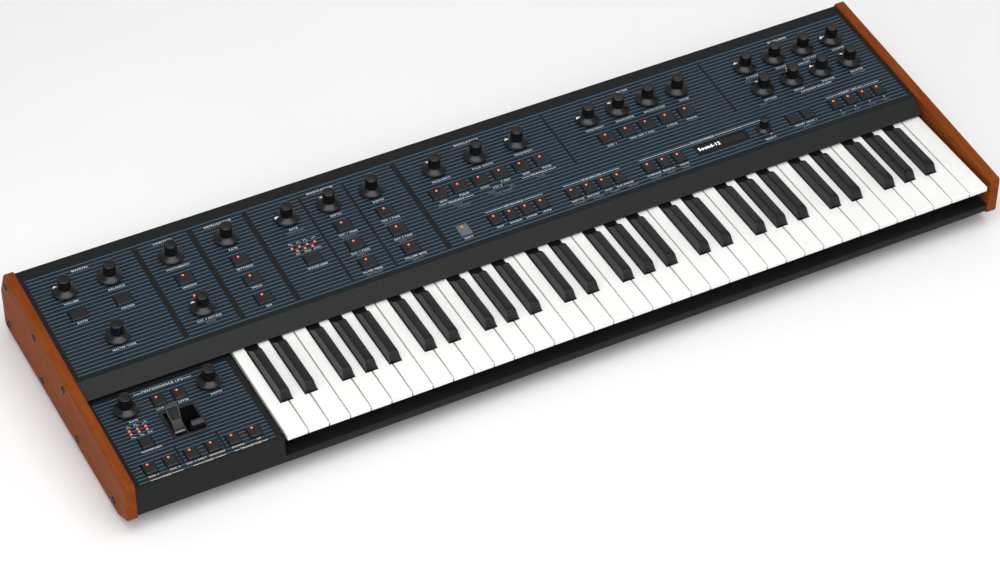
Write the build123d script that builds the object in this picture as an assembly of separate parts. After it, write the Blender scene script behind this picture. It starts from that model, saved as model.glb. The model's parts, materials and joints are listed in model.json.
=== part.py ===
from build123d import *
import math
import os

# A 61-key analogue-style synthesizer: wooden cheeks, a folded steel case, a sloping control
# panel with knobs and buttons, a small performance panel with two levers, and a keybed.
# Millimetres. +X is the player's right, +Y is towards the back, +Z is up. The origin is on
# the surface that the instrument stands on, under the middle of its footprint.

# ---------------------------------------------------------------- overall sizes
octave_span = 165.0
white_key_count = 36
block_width = 163.0
key_gap_left = 1.8
key_gap_right = 4.0
cheek_thickness = 12.0
panel_length = 172.6
foot_height = 7.0
key_top = 62.0

# ---------------------------------------------------------------- case
sheet = 1.5
front_setback = 2.2
rear_setback = 1.5
front_face_bottom = 24.1
pan_chamfer_depth = 25.6
shelf_height = 32.9
shelf_depth = 34.0
rear_wall_height = 59.0
rear_slope_depth = 15.6
panel_edge_gap = 0.5
seam = 0.3

# ---------------------------------------------------------------- control panel
lip_front = 136.4
lip_height = 3.2
panel_front = 155.2
panel_front_height = 14.8
panel_slope = 4.12
fold_radius = 1.1

# ---------------------------------------------------------------- cheeks
cheek_above_panel = 2.9
cheek_corner_radius = 4.0
cheek_edge_radius = 1.8
cheek_screw_below_top = 16.0
cheek_screw_above_bottom = 11.5
cheek_screw_rear = 13.8
cheek_screw_front = 37.85
cheek_upper_screw_rear = 19.0
cheek_upper_screw_front = 9.25
screw_hole_radius = 2.2
screw_radius = 2.0
screw_head_radius = 3.9
screw_head_height = 2.4
screw_head_round = 1.9
screw_grip = 2.5
screw_socket = 1.3
screw_socket_depth = 1.4

# ---------------------------------------------------------------- keys
key_side_gap = 0.55
key_lip = 5.9
black_front = 48.15
black_width = 13.5
black_top_width = 9.4
black_height = 12.0
black_front_rake = 3.1
black_facet_depth = 2.6
black_facet_drop = 0.9
black_top_fall = 1.0
black_end_height = 1.0
black_skirt = 5.0
black_key_gap = 0.8
black_fall_start = 121.0
black_fall_depth = 13.5
tail_end = 150.0
stem_start = 140.0
stem_width = 10.0
black_stem_width = 9.0
stem_top_drop = 4.5
stem_depth = 13.0
pivot_back = 215.0
pivot_drop = 12.0
stem_overhang = 8.0
rod_radius = 2.0
rod_clearance = 0.05
key_travel = 10.0

# ---------------------------------------------------------------- keybed frame
rail_front = 60.0
rail_width = 15.0
rail_clearance = 0.6
base_thickness = 2.0
base_lift = 5.5
bracket_thickness = 2.0
bracket_width = 14.0

# ---------------------------------------------------------------- knobs and potentiometers
knob_skirt_radius = 13.4
knob_rim = 1.1
knob_cone_height = 4.4
knob_body_radius = 7.0
knob_height = 21.4
knob_lift = 3.0
small_knob_scale = 0.67
small_knob_lift = 0.6
small_knob_wall = 2.2
knob_cap = 1.5
knob_edge = 0.9
shaft_radius = 3.0
shaft_clearance = 0.05
bushing_radius = 3.9
bushing_height = 1.2
bushing_hole = 4.2
pot_width = 11.0
pot_depth = 12.0
board_drop = 10.0
board_thickness = 1.6
pot_top_drop = 3.5
knob_recess = 2.4
knob_recess_radius = 4.8
small_shaft_reach = 13.5
shaft_seat = 8.5

# ---------------------------------------------------------------- buttons
button_width = 18.6
small_button_width = 13.8
button_depth = 16.2
button_height = 2.2
button_travel = 1.0
button_gap = 0.6
cap_shift = 0.8
button_skirt = 3.0
button_bevel = 1.2
stem_radius = 1.5
switch_size = 6.0
switch_height = 4.0

# ---------------------------------------------------------------- layout of the control panel
knob_row = 123.7
envelope_row = 83.0
tune_row = 41.0
button_row = 88.7
row_pitch = 30.6
button_pitch = 25.4
small_pitch = 19.05
knob_pitch = 38.2
manual_column = 37.5
control_column = 158.3
arpeggio_column = 222.0
wave_column = 292.7
depth_column = 343.0
oscillator_column = 457.6
filter_button_column = 667.2
filter_knob_column = 661.8
display_column = 780.1
select_column = 834.0
value_column = 871.2
envelope_column = 865.8
recall_column = 927.8
display_width = 67.4
display_height = 15.4
display_frame = 3.0
display_depth = 7.0
lamp_radius = 1.6
lamp_offset = 4.0

# ---------------------------------------------------------------- layout of the performance panel
rate_knob = (34.9, 107.4)
depth_knob = (126.8, 107.4)
performance_upper = (69.4, 107.3)
performance_lower = (23.8, 21.9)
performance_wave = (35.2, 57.1)
performance_pitch = 22.86
performance_panel_end = 152.0

# ---------------------------------------------------------------- levers
lever_box_left = 62.8
lever_box_width = 38.6
lever_box_front = 46.7
lever_box_depth = 43.5
lever_plate = 1.0
lever_plate_overlap = 0.7
lever_wall = 1.2
lever_box_clearance = 0.2
lever_wall_drop = 27.0
slot_inset_front = 3.0
slot_inset_back = 4.0
lever_pivot_y = 64.8
lever_pivot_drop = 16.0
lever_drum_radius = 20.0
lever_drum_front = 10.5
lever_drum_back = 9.5
pitch_slot = (66.1, 78.3)
mod_slot = (79.8, 99.0)
pitch_lever_span = (66.6, 77.8)
pitch_grip_span = (65.4, 79.2)
pitch_grip_bottom = 9.0
pitch_grip_top = 24.0
mod_lever_span = (84.2, 98.2)
lever_rod_radius = 2.0

# ---------------------------------------------------------------- inside and rear
power_supply_size = (150.0, 66.0, 34.0)
power_supply_left = 10.0
power_supply_to_back = 84.95
main_board_left = 220.0
main_board_width = 560.0
main_board_front = 248.0
main_board_to_back = 16.95
main_board_lift = 7.0
standoff_radius = 3.5
chip_size = 22.0
chip_inset = 24.0
chip_height = 2.4
socket_height = 34.0
jack_bore = 3.2
jack_pitch = 32.0
jack_first = 470.0
din_first = 720.0
din_bore = 6.6
din_pitch = 28.0
usb_place = 830.0
inlet_place = 905.0
switch_place = 950.0
foot_radius = 11.0
foot_inset_x = 60.0
foot_front = 50.0
foot_back = 305.0
foot_spigot = 3.0

# ---------------------------------------------------------------- worked-out places
key_pitch = octave_span / 7
keys_width = key_pitch * white_key_count
inner_width = block_width + key_gap_left + keys_width + key_gap_right
case_left = -inner_width / 2
case_right = inner_width / 2
keys_left = case_left + block_width + key_gap_left
slope = math.radians(panel_slope)
panel_back = panel_front + panel_length * math.cos(slope)
case_back = panel_back + rear_slope_depth
body_depth = case_back + rear_setback
front = -body_depth / 2
pan_floor = foot_height + sheet
block_top = key_top - 1.9
panel_edge_z = key_top + panel_front_height
panel_back_z = panel_edge_z + panel_length * math.sin(slope)
cheek_top_front = panel_edge_z + cheek_above_panel - panel_front * math.tan(slope)
cheek_top_back = panel_back_z + cheek_above_panel
pivot_z = key_top - pivot_drop
key_bottom = key_top - key_lip
travel_angle = math.degrees(math.asin(key_travel / pivot_back))

# ---------------------------------------------------------------- frames of reference
# Each panel has a local frame: x from the case's inner left face, y from the panel's front
# edge, z out of the panel's surface.
on_panel = Location((case_left, front + panel_front, panel_edge_z), (panel_slope, 0, 0))
on_block = Location((case_left, front + front_setback, block_top))

# The black keys, by the distance of their middle from the C key's left side.
black_centres = {
    "c_sharp": key_pitch - 1.85,
    "d_sharp": 2 * key_pitch + 2.5,
    "f_sharp": 4 * key_pitch - 2.3,
    "g_sharp": 5 * key_pitch + 0.5,
    "a_sharp": 6 * key_pitch + 4.3,
}
white_places = {"c": 0, "d": 1, "e": 2, "f": 3, "g": 4, "a": 5, "b": 6}
octave_count = white_key_count // 7

# Knobs: name, x, y on the control panel.
knob_places = {
    "knob_volume": (manual_column, knob_row),
    "knob_balance": (manual_column + 2 * button_pitch, knob_row),
    "knob_master_tune": (manual_column + button_pitch, tune_row),
    "knob_portamento": (control_column, knob_row),
    "knob_detune": (control_column, tune_row),
    "knob_arpeggio_rate": (arpeggio_column, knob_row),
    "knob_lfo_rate": (wave_column, knob_row),
    "knob_frequency_depth": (depth_column, knob_row),
    "knob_width_depth": (depth_column + 2 * button_pitch, knob_row),
    "knob_oscillator_1": (oscillator_column + 0.5 * button_pitch, knob_row),
    "knob_pulse_width": (oscillator_column + 2.5 * button_pitch, knob_row),
    "knob_oscillator_2": (oscillator_column + 4.5 * button_pitch, knob_row),
    "knob_filter_frequency": (filter_knob_column, knob_row),
    "knob_resonance": (filter_knob_column + knob_pitch, knob_row),
    "knob_filter_modulation": (filter_knob_column + 2 * knob_pitch, knob_row),
    "knob_noise": (filter_knob_column + 3 * knob_pitch, knob_row),
}
for stage, stage_name in enumerate(("attack", "decay", "sustain", "release")):
    stage_x = envelope_column + stage * knob_pitch
    knob_places["knob_filter_" + stage_name] = (stage_x, knob_row)
    knob_places["knob_loudness_" + stage_name] = (stage_x, envelope_row)
select_place = (select_column, button_row - 2 * row_pitch)

middle_row = button_row - row_pitch
front_row = button_row - 2 * row_pitch
wide_places = [
    (manual_column, button_row),
    (manual_column + 2 * button_pitch, button_row),
    (control_column, button_row),
    (arpeggio_column, button_row),
    (arpeggio_column, middle_row),
    (arpeggio_column, front_row),
    (wave_column, middle_row),
]
for column in range(2):
    for row in range(3):
        wide_places.append((depth_column + 2 * button_pitch * column, button_row - row_pitch * row))
for column in range(6):
    wide_places.append((oscillator_column + button_pitch * column, button_row))
for column in range(5):
    wide_places.append((filter_button_column + button_pitch * column, button_row))

small_places = [(oscillator_column, front_row)]
for first, count in ((2, 4), (7, 4), (12, 3)):
    for column in range(count):
        small_places.append((oscillator_column + small_pitch * (first + column), front_row))
for column in range(2):
    small_places.append((value_column + small_pitch * column, front_row))
for column in range(4):
    small_places.append((recall_column + small_pitch * column, front_row))

performance_places = [performance_wave]
for column in range(2):
    performance_places.append((performance_upper[0] + performance_pitch * column, performance_upper[1]))
for column in range(6):
    performance_places.append((performance_lower[0] + performance_pitch * column, performance_lower[1]))

wide_places = [(x + cap_shift, y) for x, y in wide_places]
small_places = [(x + cap_shift, y) for x, y in small_places]
performance_places = [(x + cap_shift, y) for x, y in performance_places]


# ---------------------------------------------------------------- helpers
def carried_along_x(outline, x_start, x_end):
    """A closed outline of (depth, height) points from the front of the cheeks, carried along X."""
    points = [(front + y, z) for y, z in outline]
    face = Plane.YZ.offset(x_start) * make_face(Polyline(*points, close=True))
    return extrude(face, amount=x_end - x_start, dir=(1, 0, 0))


def folded_sheet(outline, x_start, x_end):
    """An open outline of the outer surface, thickened inwards (to its right) by one sheet."""
    inner = []
    for i, point in enumerate(outline):
        before = outline[max(i - 1, 0)]
        after = outline[min(i + 1, len(outline) - 1)]
        into = unit(before, point) if i > 0 else unit(point, after)
        out = unit(point, after) if i < len(outline) - 1 else into
        shared = 1 + into[0] * out[0] + into[1] * out[1]
        normal_y = (into[1] + out[1]) / shared
        normal_z = -(into[0] + out[0]) / shared
        inner.append((point[0] + sheet * normal_y, point[1] + sheet * normal_z))
    return carried_along_x(outline + inner[::-1], x_start, x_end)


def rounded_folds(shape, places):
    """The folds along X nearest to these (depth, height) places, rounded as a press brake leaves them."""
    folds = []
    for depth, height in places:
        place = Vector(0, front + depth, height)
        folds.append(min(shape.edges().filter_by(Axis.X), key=lambda edge: fold_distance(edge, place)))
    return fillet(folds, fold_radius)


def fold_distance(edge, place):
    """How far an edge along X is from a place, seen from the side."""
    middle = edge.center()
    return math.hypot(middle.Y - place.Y, middle.Z - place.Z)


def unit(start, end):
    """The direction from one (depth, height) point to another."""
    length = math.hypot(end[0] - start[0], end[1] - start[1])
    return ((end[0] - start[0]) / length, (end[1] - start[1]) / length)


def block(x_range, y_range, z_range):
    """A rectangular block between two values on each axis."""
    size = (x_range[1] - x_range[0], y_range[1] - y_range[0], z_range[1] - z_range[0])
    middle = ((x_range[0] + x_range[1]) / 2, (y_range[0] + y_range[1]) / 2, (z_range[0] + z_range[1]) / 2)
    return Pos(*middle) * Box(*size)


def rod_x(radius, x_start, x_end, y, z):
    """A round bar along X."""
    return Pos((x_start + x_end) / 2, y, z) * Rot(0, 90, 0) * Cylinder(radius, x_end - x_start)


def rod_y(radius, y_start, y_end, x, z):
    """A round bar along Y."""
    return Pos(x, (y_start + y_end) / 2, z) * Rot(90, 0, 0) * Cylinder(radius, y_end - y_start)


def rod_z(radius, z_start, z_end, x, y):
    """A round bar along Z."""
    return Pos(x, y, (z_start + z_end) / 2) * Cylinder(radius, z_end - z_start)


def turned(outline):
    """A closed outline of (radius, height) points, turned about Z."""
    face = Plane.XZ * make_face(Polyline(*outline, close=True))
    return revolve(face, Axis.Z)


def save(shape, name):
    """Write one node."""
    export_step(shape, "parts/" + name + ".step")


# ---------------------------------------------------------------- wooden cheeks
def cheek_screw_points():
    """Where the screws go through a cheek, as (depth, height)."""
    points = []
    first = panel_front + cheek_upper_screw_front
    pitch = (body_depth - cheek_upper_screw_rear - first) / 2
    for i in range(3):
        depth = first + pitch * i
        top = panel_edge_z + cheek_above_panel + (depth - panel_front) * math.tan(slope)
        points.append((depth, top - cheek_screw_below_top))
    pitch = (body_depth - cheek_screw_rear - cheek_screw_front) / 3
    for i in range(4):
        points.append((cheek_screw_front + pitch * i, foot_height + cheek_screw_above_bottom))
    return points


def cheek(x_start):
    """A solid wooden end board with rounded corners and edges."""
    outline = [
        (0, front_face_bottom - 1.3),
        (0, cheek_top_front),
        (panel_back + 1.0, cheek_top_back),
        (body_depth, rear_wall_height),
        (body_depth, foot_height),
        (pan_chamfer_depth + front_setback, foot_height),
    ]
    board = carried_along_x(outline, x_start, x_start + cheek_thickness)
    corners = board.edges().filter_by(Axis.X)
    board = fillet(corners, cheek_corner_radius)
    faces = board.faces().filter_by(Axis.X)
    board = fillet(faces.edges(), cheek_edge_radius)
    for depth, height in cheek_screw_points():
        board -= rod_x(screw_hole_radius, x_start - 1, x_start + cheek_thickness + 1, front + depth, height)
    return board


def cheek_screw():
    """A dome-headed machine screw along X, its head's seat at the origin and its head towards -X."""
    dome = rod_x(screw_head_radius, -screw_head_height, 0, 0, 0)
    dome = fillet(dome.edges().sort_by(Axis.X)[0], screw_head_round)
    shank = rod_x(screw_radius, -0.5, cheek_thickness + sheet + screw_grip, 0, 0)
    socket = rod_x(screw_socket, -screw_head_height - 1, -screw_head_height + screw_socket_depth, 0, 0)
    return dome + shank - socket


def cheek_screws():
    """All the screws of both cheeks."""
    screws = []
    outer = inner_width / 2 + cheek_thickness
    for depth, height in cheek_screw_points():
        screws.append(Pos(-outer, front + depth, height) * cheek_screw())
        screws.append(Pos(outer, front + depth, height) * Rot(0, 0, 180) * cheek_screw())
    return Compound(children=screws)


# ---------------------------------------------------------------- case
def side_plate(x_start):
    """The steel plate inside a cheek that its screws hold to."""
    top = panel_edge_z - 6.0
    outline = [
        (30.0, pan_floor),
        (case_back - sheet, pan_floor),
        (case_back - sheet, rear_wall_height - 2.0),
        (panel_back - 4.0, panel_back_z - 6.0),
        (panel_front + 4.0, top),
        (stem_start + 6.0, key_bottom - 8.0),
        (rail_front, key_bottom - 8.0),
        (rail_front, shelf_height - 3.0),
        (30.0, shelf_height - 3.0),
    ]
    return carried_along_x(outline, x_start, x_start + sheet)


def bottom_pan():
    """The folded steel tray: floor, front chamfer, front strip with the shelf, rear wall, end plates."""
    rear_and_floor = [
        (case_back, rear_wall_height),
        (case_back, foot_height),
        (front_setback + pan_chamfer_depth, foot_height),
    ]
    chamfer_rise = (front_face_bottom - foot_height) / pan_chamfer_depth
    chamfer_top = (front_setback, front_face_bottom)
    under_block = (front_setback + sheet + 0.2, front_face_bottom - chamfer_rise * (sheet + 0.2))
    front_strip = [(front_setback, shelf_height), (shelf_depth, shelf_height)]
    block_right = case_left + block_width
    pan = folded_sheet(rear_and_floor + [under_block], case_left, block_right)
    front_part = folded_sheet(rear_and_floor + [chamfer_top] + front_strip, block_right, case_right)
    pan += rounded_folds(front_part, front_strip[:1])
    pan += side_plate(case_left)
    pan += side_plate(case_right - sheet)
    for depth, height in cheek_screw_points():
        for x in (case_left, case_right):
            pan -= rod_x(screw_radius + 0.1, x - 3, x + 3, front + depth, height)
    for x, depth in foot_points():
        pan -= rod_z(foot_spigot + 0.1, foot_height - 1, pan_floor + 1, x, front + depth)
    wall = (front + case_back - sheet - 1, front + case_back + 1)
    for x, height, radius in round_socket_points():
        pan -= rod_y(radius, wall[0], wall[1], x, height)
    for x, width, height in square_socket_points():
        pan -= block((x - width / 2, x + width / 2), wall,
                     (socket_height - height / 2, socket_height + height / 2))
    return pan


def control_panel():
    """The folded top cover: the lip over the keys, the sloping panel and the rear slope."""
    outline = [
        (lip_front, key_top + lip_height),
        (panel_front, panel_edge_z),
        (panel_back, panel_back_z),
        (case_back, rear_wall_height + seam + sheet / 2),
    ]
    cover = folded_sheet(outline, case_left + panel_edge_gap, case_right - panel_edge_gap)
    cover = rounded_folds(cover, outline[1:3])
    cutters = []
    for x, y in list(knob_places.values()) + [select_place]:
        cutters.append(rod_z(bushing_hole, -sheet - 1, 1, x, y))
    for x, y in wide_places:
        cutters.append(button_window(x, y, button_width))
    for x, y in small_places:
        cutters.append(button_window(x, y, small_button_width))
    half_width = display_width / 2
    half_height = display_height / 2
    cutters.append(block((display_column - half_width, display_column + half_width),
                         (front_row - half_height, front_row + half_height), (-sheet - 1, 1)))
    cutters.append(rod_z(lamp_radius, -sheet - 1, 1, control_column, middle_row + lamp_offset))
    return cover - [on_panel * cutter for cutter in cutters]


def button_window(x, y, width):
    """The hole in a panel that a button moves in."""
    half_width = width / 2 + button_gap
    half_depth = button_depth / 2 + button_gap
    return block((x - half_width, x + half_width), (y - half_depth, y + half_depth), (-sheet - 1, 1))


def performance_panel():
    """The low panel to the left of the keys, with its front face and its side towards the keys."""
    depth = performance_panel_end - front_setback
    drop = block_top - front_face_bottom - seam
    outer = block((panel_edge_gap, block_width), (0, depth), (-drop, 0))
    inner = block((panel_edge_gap - 1, block_width - sheet), (sheet, depth + 1), (-drop - 1, -sheet))
    top_edges = outer.faces().sort_by(Axis.Z)[-1].edges()
    folds = [top_edges.sort_by(Axis.Y)[0], top_edges.sort_by(Axis.X)[-1]]
    cover = fillet(folds, fold_radius) - inner
    shelf_clear = block_top - shelf_height - seam
    cover -= block((block_width - sheet - 1, block_width + 1), (sheet, depth + 1),
                   (-drop - 1, -shelf_clear))
    cutters = [rod_z(bushing_hole, -sheet - 1, 1, x, y) for x, y in (rate_knob, depth_knob)]
    for x, y in performance_places:
        cutters.append(button_window(x, y, small_button_width))
    overlap = lever_plate_overlap
    cutters.append(block((lever_box_left + overlap, lever_box_left + lever_box_width - overlap),
                         (lever_box_front + overlap, lever_box_front + lever_box_depth - overlap),
                         (-sheet - 1, 1)))
    return on_block * (cover - cutters)


# ---------------------------------------------------------------- keys
def white_key(note):
    """One white key: a lipped head, a tail that passes between the black keys, and a pivoted stem."""
    left = white_places[note] * key_pitch
    right = left + key_pitch
    tail_left = left + key_side_gap
    tail_right = right - key_side_gap
    half_slot = black_width / 2 + black_key_gap
    for centre in black_centres.values():
        if left < centre + half_slot < right - 4:
            tail_left = max(tail_left, centre + half_slot)
        if left + 4 < centre - half_slot < right:
            tail_right = min(tail_right, centre - half_slot)
    head = key_slab(left + key_side_gap, right - key_side_gap, 0, black_front - black_key_gap)
    tail = key_slab(tail_left, tail_right, black_front - 2.0, tail_end)
    middle = (tail_left + tail_right) / 2
    return head + tail + key_stem(middle, stem_width)


def key_slab(x_start, x_end, y_start, y_end):
    """The playing surface of a white key, as thick as its front lip."""
    return block((x_start, x_end), (front + y_start, front + y_end), (key_bottom, key_top))


def key_stem(middle, width):
    """The arm under the panel that carries a key to its pivot, with the bore for the pivot rod."""
    top = key_top - stem_top_drop
    outline = [
        (stem_start, top),
        (pivot_back + stem_overhang, top),
        (pivot_back + stem_overhang, top - stem_depth),
        (stem_start + 12.0, top - stem_depth),
        (stem_start, key_bottom),
    ]
    arm = carried_along_x(outline, middle - width / 2, middle + width / 2)
    bore = rod_x(rod_radius + rod_clearance, middle - width, middle + width, front + pivot_back, pivot_z)
    return arm - bore


def black_key(centre):
    """One black key: raked front with a facet, tapered sides, a top that falls away under the lip."""
    fall_end = black_fall_start + black_fall_depth
    outline = [
        (black_front, key_top - black_skirt),
        (black_front, key_top),
        (black_front + black_front_rake, key_top + black_height - black_facet_drop),
        (black_front + black_front_rake + black_facet_depth, key_top + black_height),
        (black_fall_start, key_top + black_height - black_top_fall),
        (fall_end, key_top + black_end_height),
        (tail_end, key_top + black_end_height),
        (tail_end, key_top - black_skirt),
    ]
    half = black_width / 2
    bar = carried_along_x(outline, centre - half, centre + half)
    half_top = black_top_width / 2
    section = [
        (centre - half, key_top - black_skirt),
        (centre + half, key_top - black_skirt),
        (centre + half, key_top),
        (centre + half_top, key_top + black_height),
        (centre - half_top, key_top + black_height),
        (centre - half, key_top),
    ]
    face = Plane.XZ.offset(-front - tail_end - 1) * make_face(Polyline(*section, close=True))
    taper = extrude(face, amount=tail_end, dir=(0, -1, 0))
    return (bar & taper) + key_stem(centre, black_stem_width)


def top_key():
    """The last C: no black key beside it, so its tail is as wide as its head."""
    head = key_slab(key_side_gap, key_pitch - key_side_gap, 0, tail_end)
    middle = (key_side_gap + black_centres["c_sharp"] - black_width / 2 - black_key_gap) / 2
    return head + key_stem(middle, stem_width)


def repeated_by_octave(key, with_top):
    """One key of each octave, as separate solids that share a node."""
    copies = [Pos(keys_left + octave_span * i, 0, 0) * key for i in range(octave_count)]
    if with_top:
        copies.append(Pos(keys_left + octave_span * octave_count, 0, 0) * top_key())
    return Compound(children=copies)


# ---------------------------------------------------------------- keybed frame
def keybed_frame():
    """The chassis under the keys: base plate on blocks, front stop rail, and the pivot brackets."""
    left = keys_left - 1.0
    right = keys_left + keys_width
    base_low = pan_floor + base_lift
    base_high = base_low + base_thickness
    plate_range = (front + rail_front - 12.0, front + pivot_back + 16.0)
    frame = block((left, right), plate_range, (base_low, base_high))
    for i in range(6):
        x = left + 40.0 + (keys_width - 80.0) * i / 5
        for depth in (rail_front, pivot_back - 8.0):
            frame += block((x - 8, x + 8), (front + depth, front + depth + 12), (pan_floor, base_low))
    key_drop = math.sin(math.radians(travel_angle)) * (pivot_back - rail_front)
    rail_top = key_bottom - key_drop - rail_clearance
    rail_range = (front + rail_front, front + rail_front + rail_width)
    frame += block((left, right), rail_range, (base_high, rail_top))
    for x in bracket_places():
        outline = [
            (pivot_back - bracket_width, base_high),
            (pivot_back + bracket_width, base_high),
            (pivot_back + 6.0, pivot_z + 6.0),
            (pivot_back - 6.0, pivot_z + 6.0),
        ]
        frame += carried_along_x(outline, x - bracket_thickness / 2, x + bracket_thickness / 2)
    return frame - key_rod()


def bracket_places():
    """The pivot brackets stand in the gaps between the E and F stems and between the B and C stems."""
    places = []
    for i in range(octave_count):
        start = keys_left + octave_span * i
        places.append(start + 3 * key_pitch)
        places.append(start + octave_span + 0.6)
    places.append(keys_left)
    places.append(keys_left + keys_width - 6.0)
    return places


def key_rod():
    """The steel rod that all the keys turn on."""
    left = keys_left - 1.5
    right = keys_left + keys_width + 1.0
    return rod_x(rod_radius, left, right, front + pivot_back, pivot_z)


# ---------------------------------------------------------------- knobs
def knob(skirt, body, lift, cone_height, reach):
    """A turned knob with a flared skirt, and the potentiometer shaft that is pressed into it."""
    top = reach + knob_cap
    cone = lift + cone_height
    recess = lift + knob_recess
    outline = [
        (shaft_radius, recess),
        (knob_recess_radius, recess),
        (knob_recess_radius, lift),
        (skirt, lift),
        (skirt, lift + knob_rim),
        (body + 1.6, cone - 0.6),
        (body, cone),
        (body, top - knob_edge),
        (body - knob_edge, top),
        (0, top),
        (0, reach),
        (shaft_radius, reach),
    ]
    shaft = rod_z(shaft_radius, -shaft_seat, reach, 0, 0)
    return [turned(outline), shaft]


def large_knob():
    """The knob of the potentiometers, which stands clear of the panel."""
    return knob(knob_skirt_radius, knob_body_radius, knob_lift, knob_cone_height, knob_height - knob_cap)


def small_knob():
    """The narrow knob of the value encoder, whose cap hides its bushing."""
    skirt = knob_skirt_radius * small_knob_scale
    body = shaft_radius + small_knob_wall
    cone_height = knob_cone_height * small_knob_scale
    return knob(skirt, body, small_knob_lift, cone_height, small_shaft_reach)


def place_knob(solids, frame, x, y):
    """A knob and its shaft at a place on a panel."""
    return Compound(children=[frame * Pos(x, y, 0) * solid for solid in solids])


def potentiometer():
    """A board-mounted potentiometer: a square case and a threaded bushing around the shaft."""
    case = block((-pot_width / 2, pot_width / 2), (-pot_depth / 2, pot_depth / 2),
                 (-board_drop, -pot_top_drop))
    case += rod_z(bushing_radius, -pot_top_drop - 0.5, bushing_height, 0, 0)
    return case - rod_z(shaft_radius + shaft_clearance, -shaft_seat - 0.3, bushing_height + 1, 0, 0)


def potentiometers():
    """The potentiometers of both panels."""
    units = [on_panel * Pos(x, y, 0) * potentiometer() for x, y in knob_places.values()]
    units.append(on_panel * Pos(*select_place, 0) * potentiometer())
    units += [on_block * Pos(x, y, 0) * potentiometer() for x, y in (rate_knob, depth_knob)]
    return Compound(children=units)


# ---------------------------------------------------------------- buttons
def button(width):
    """A moulded cap with bevelled edges, and the stem that presses its switch."""
    cap = block((-width / 2, width / 2), (-button_depth / 2, button_depth / 2),
                (-button_skirt, button_height))
    cap = chamfer(cap.faces().sort_by(Axis.Z)[-1].edges(), button_bevel)
    stem_end = -board_drop + switch_height + button_travel + 0.1
    return cap + rod_z(stem_radius, stem_end, -button_skirt, 0, 0)


def buttons(places, width, frame):
    """A group of equal buttons."""
    return Compound(children=[frame * Pos(x, y, 0) * button(width) for x, y in places])


# ---------------------------------------------------------------- boards and power
def switch(x, y):
    """A tactile switch on a board, under a button."""
    half = switch_size / 2
    return block((x - half, x + half), (y - half, y + half), (-board_drop, -board_drop + switch_height))


def circuit_boards():
    """The boards under the two panels with their switches, and the main board on its standoffs."""
    low = -board_drop - board_thickness
    panel_board = block((12.0, inner_width - 12.0), (12.0, panel_length - 12.0), (low, -board_drop))
    for x, y in wide_places + small_places:
        panel_board += switch(x, y)
    block_board = block((8.0, block_width - 10.0), (9.0, performance_panel_end - 30.0), (low, -board_drop))
    for x, y in performance_places:
        block_board += switch(x, y)
    block_board -= block((lever_box_left - 1.0, lever_box_left + lever_box_width + 1.0),
                         (lever_box_front - 1.0, lever_box_front + lever_box_depth + 1.0), (low - 1, 0))
    x_start = case_left + main_board_left
    y_start = front + main_board_front
    main_board_depth = case_back - main_board_to_back - main_board_front
    board_low = pan_floor + main_board_lift
    main = block((x_start, x_start + main_board_width), (y_start, y_start + main_board_depth),
                 (board_low, board_low + board_thickness))
    for i in range(5):
        for j in range(2):
            x = x_start + 12.0 + (main_board_width - 24.0) * i / 4
            y = y_start + 8.0 + (main_board_depth - 16.0) * j
            main += rod_z(standoff_radius, pan_floor, board_low, x, y)
    for i in range(8):
        x = x_start + 50.0 + 64.0 * i
        main += block((x, x + chip_size), (y_start + chip_inset, y_start + chip_inset + chip_size),
                      (board_low + board_thickness, board_low + board_thickness + chip_height))
    return Compound(children=[on_panel * panel_board, on_block * block_board, main])


def power_supply():
    """The enclosed mains power module on the floor of the case."""
    width, depth, height = power_supply_size
    x = case_left + power_supply_left
    y = front + case_back - power_supply_to_back
    case = block((x, x + width), (y, y + depth), (pan_floor, pan_floor + height))
    case = chamfer(case.edges().filter_by(Axis.Z), 2.0)
    for i in range(9):
        slot_x = x + 20.0 + 12.0 * i
        case -= block((slot_x, slot_x + 5.0), (y + 12.0, y + depth - 12.0),
                      (pan_floor + height - 1.5, pan_floor + height + 1))
    return case


def display():
    """The display: a window in the panel's opening and the module behind it."""
    gap = 0.2
    half_width = display_width / 2 - gap
    half_height = display_height / 2 - gap
    window = block((display_column - half_width, display_column + half_width),
                   (front_row - half_height, front_row + half_height), (-sheet, -0.3))
    wide = half_width + display_frame
    high = half_height + display_frame
    module = block((display_column - wide, display_column + wide),
                   (front_row - high, front_row + high), (-sheet - display_depth, -sheet))
    return on_panel * (window + module)


# ---------------------------------------------------------------- levers
def lever_box():
    """The slotted plate around the levers, the well whose walls hold the pivot, and the pivot rod."""
    right = lever_box_left + lever_box_width
    back = lever_box_front + lever_box_depth
    plate = block((lever_box_left, right), (lever_box_front, back), (0, lever_plate))
    plate = chamfer(plate.faces().sort_by(Axis.Z)[-1].edges(), 0.6)
    slot_front = lever_box_front + slot_inset_front
    slot_back = back - slot_inset_back
    for slot in (pitch_slot, mod_slot):
        plate -= block(slot, (slot_front, slot_back), (-1, lever_plate + 1))
    inset = lever_plate_overlap + lever_box_clearance
    well = block((lever_box_left + inset, right - inset), (lever_box_front + inset, back - inset),
                 (-lever_wall_drop, 0))
    inset += lever_wall
    well -= block((lever_box_left + inset, right - inset), (lever_box_front + inset, back - inset),
                  (-lever_wall_drop - 1, 0))
    rod = rod_x(lever_rod_radius, lever_box_left + inset - lever_wall, right - inset + lever_wall,
                lever_pivot_y, -lever_pivot_drop)
    return Compound(children=[on_block * (plate + well - rod), on_block * rod])


def lever_outline_to_solid(outline, span):
    """A lever's side outline, in (depth, height) from its pivot, as a solid across its slot."""
    points = [(lever_pivot_y + y, z - lever_pivot_drop) for y, z in outline]
    face = Plane.YZ.offset(span[0]) * make_face(Polyline(*points, close=True))
    return extrude(face, amount=span[1] - span[0], dir=(1, 0, 0))


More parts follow.
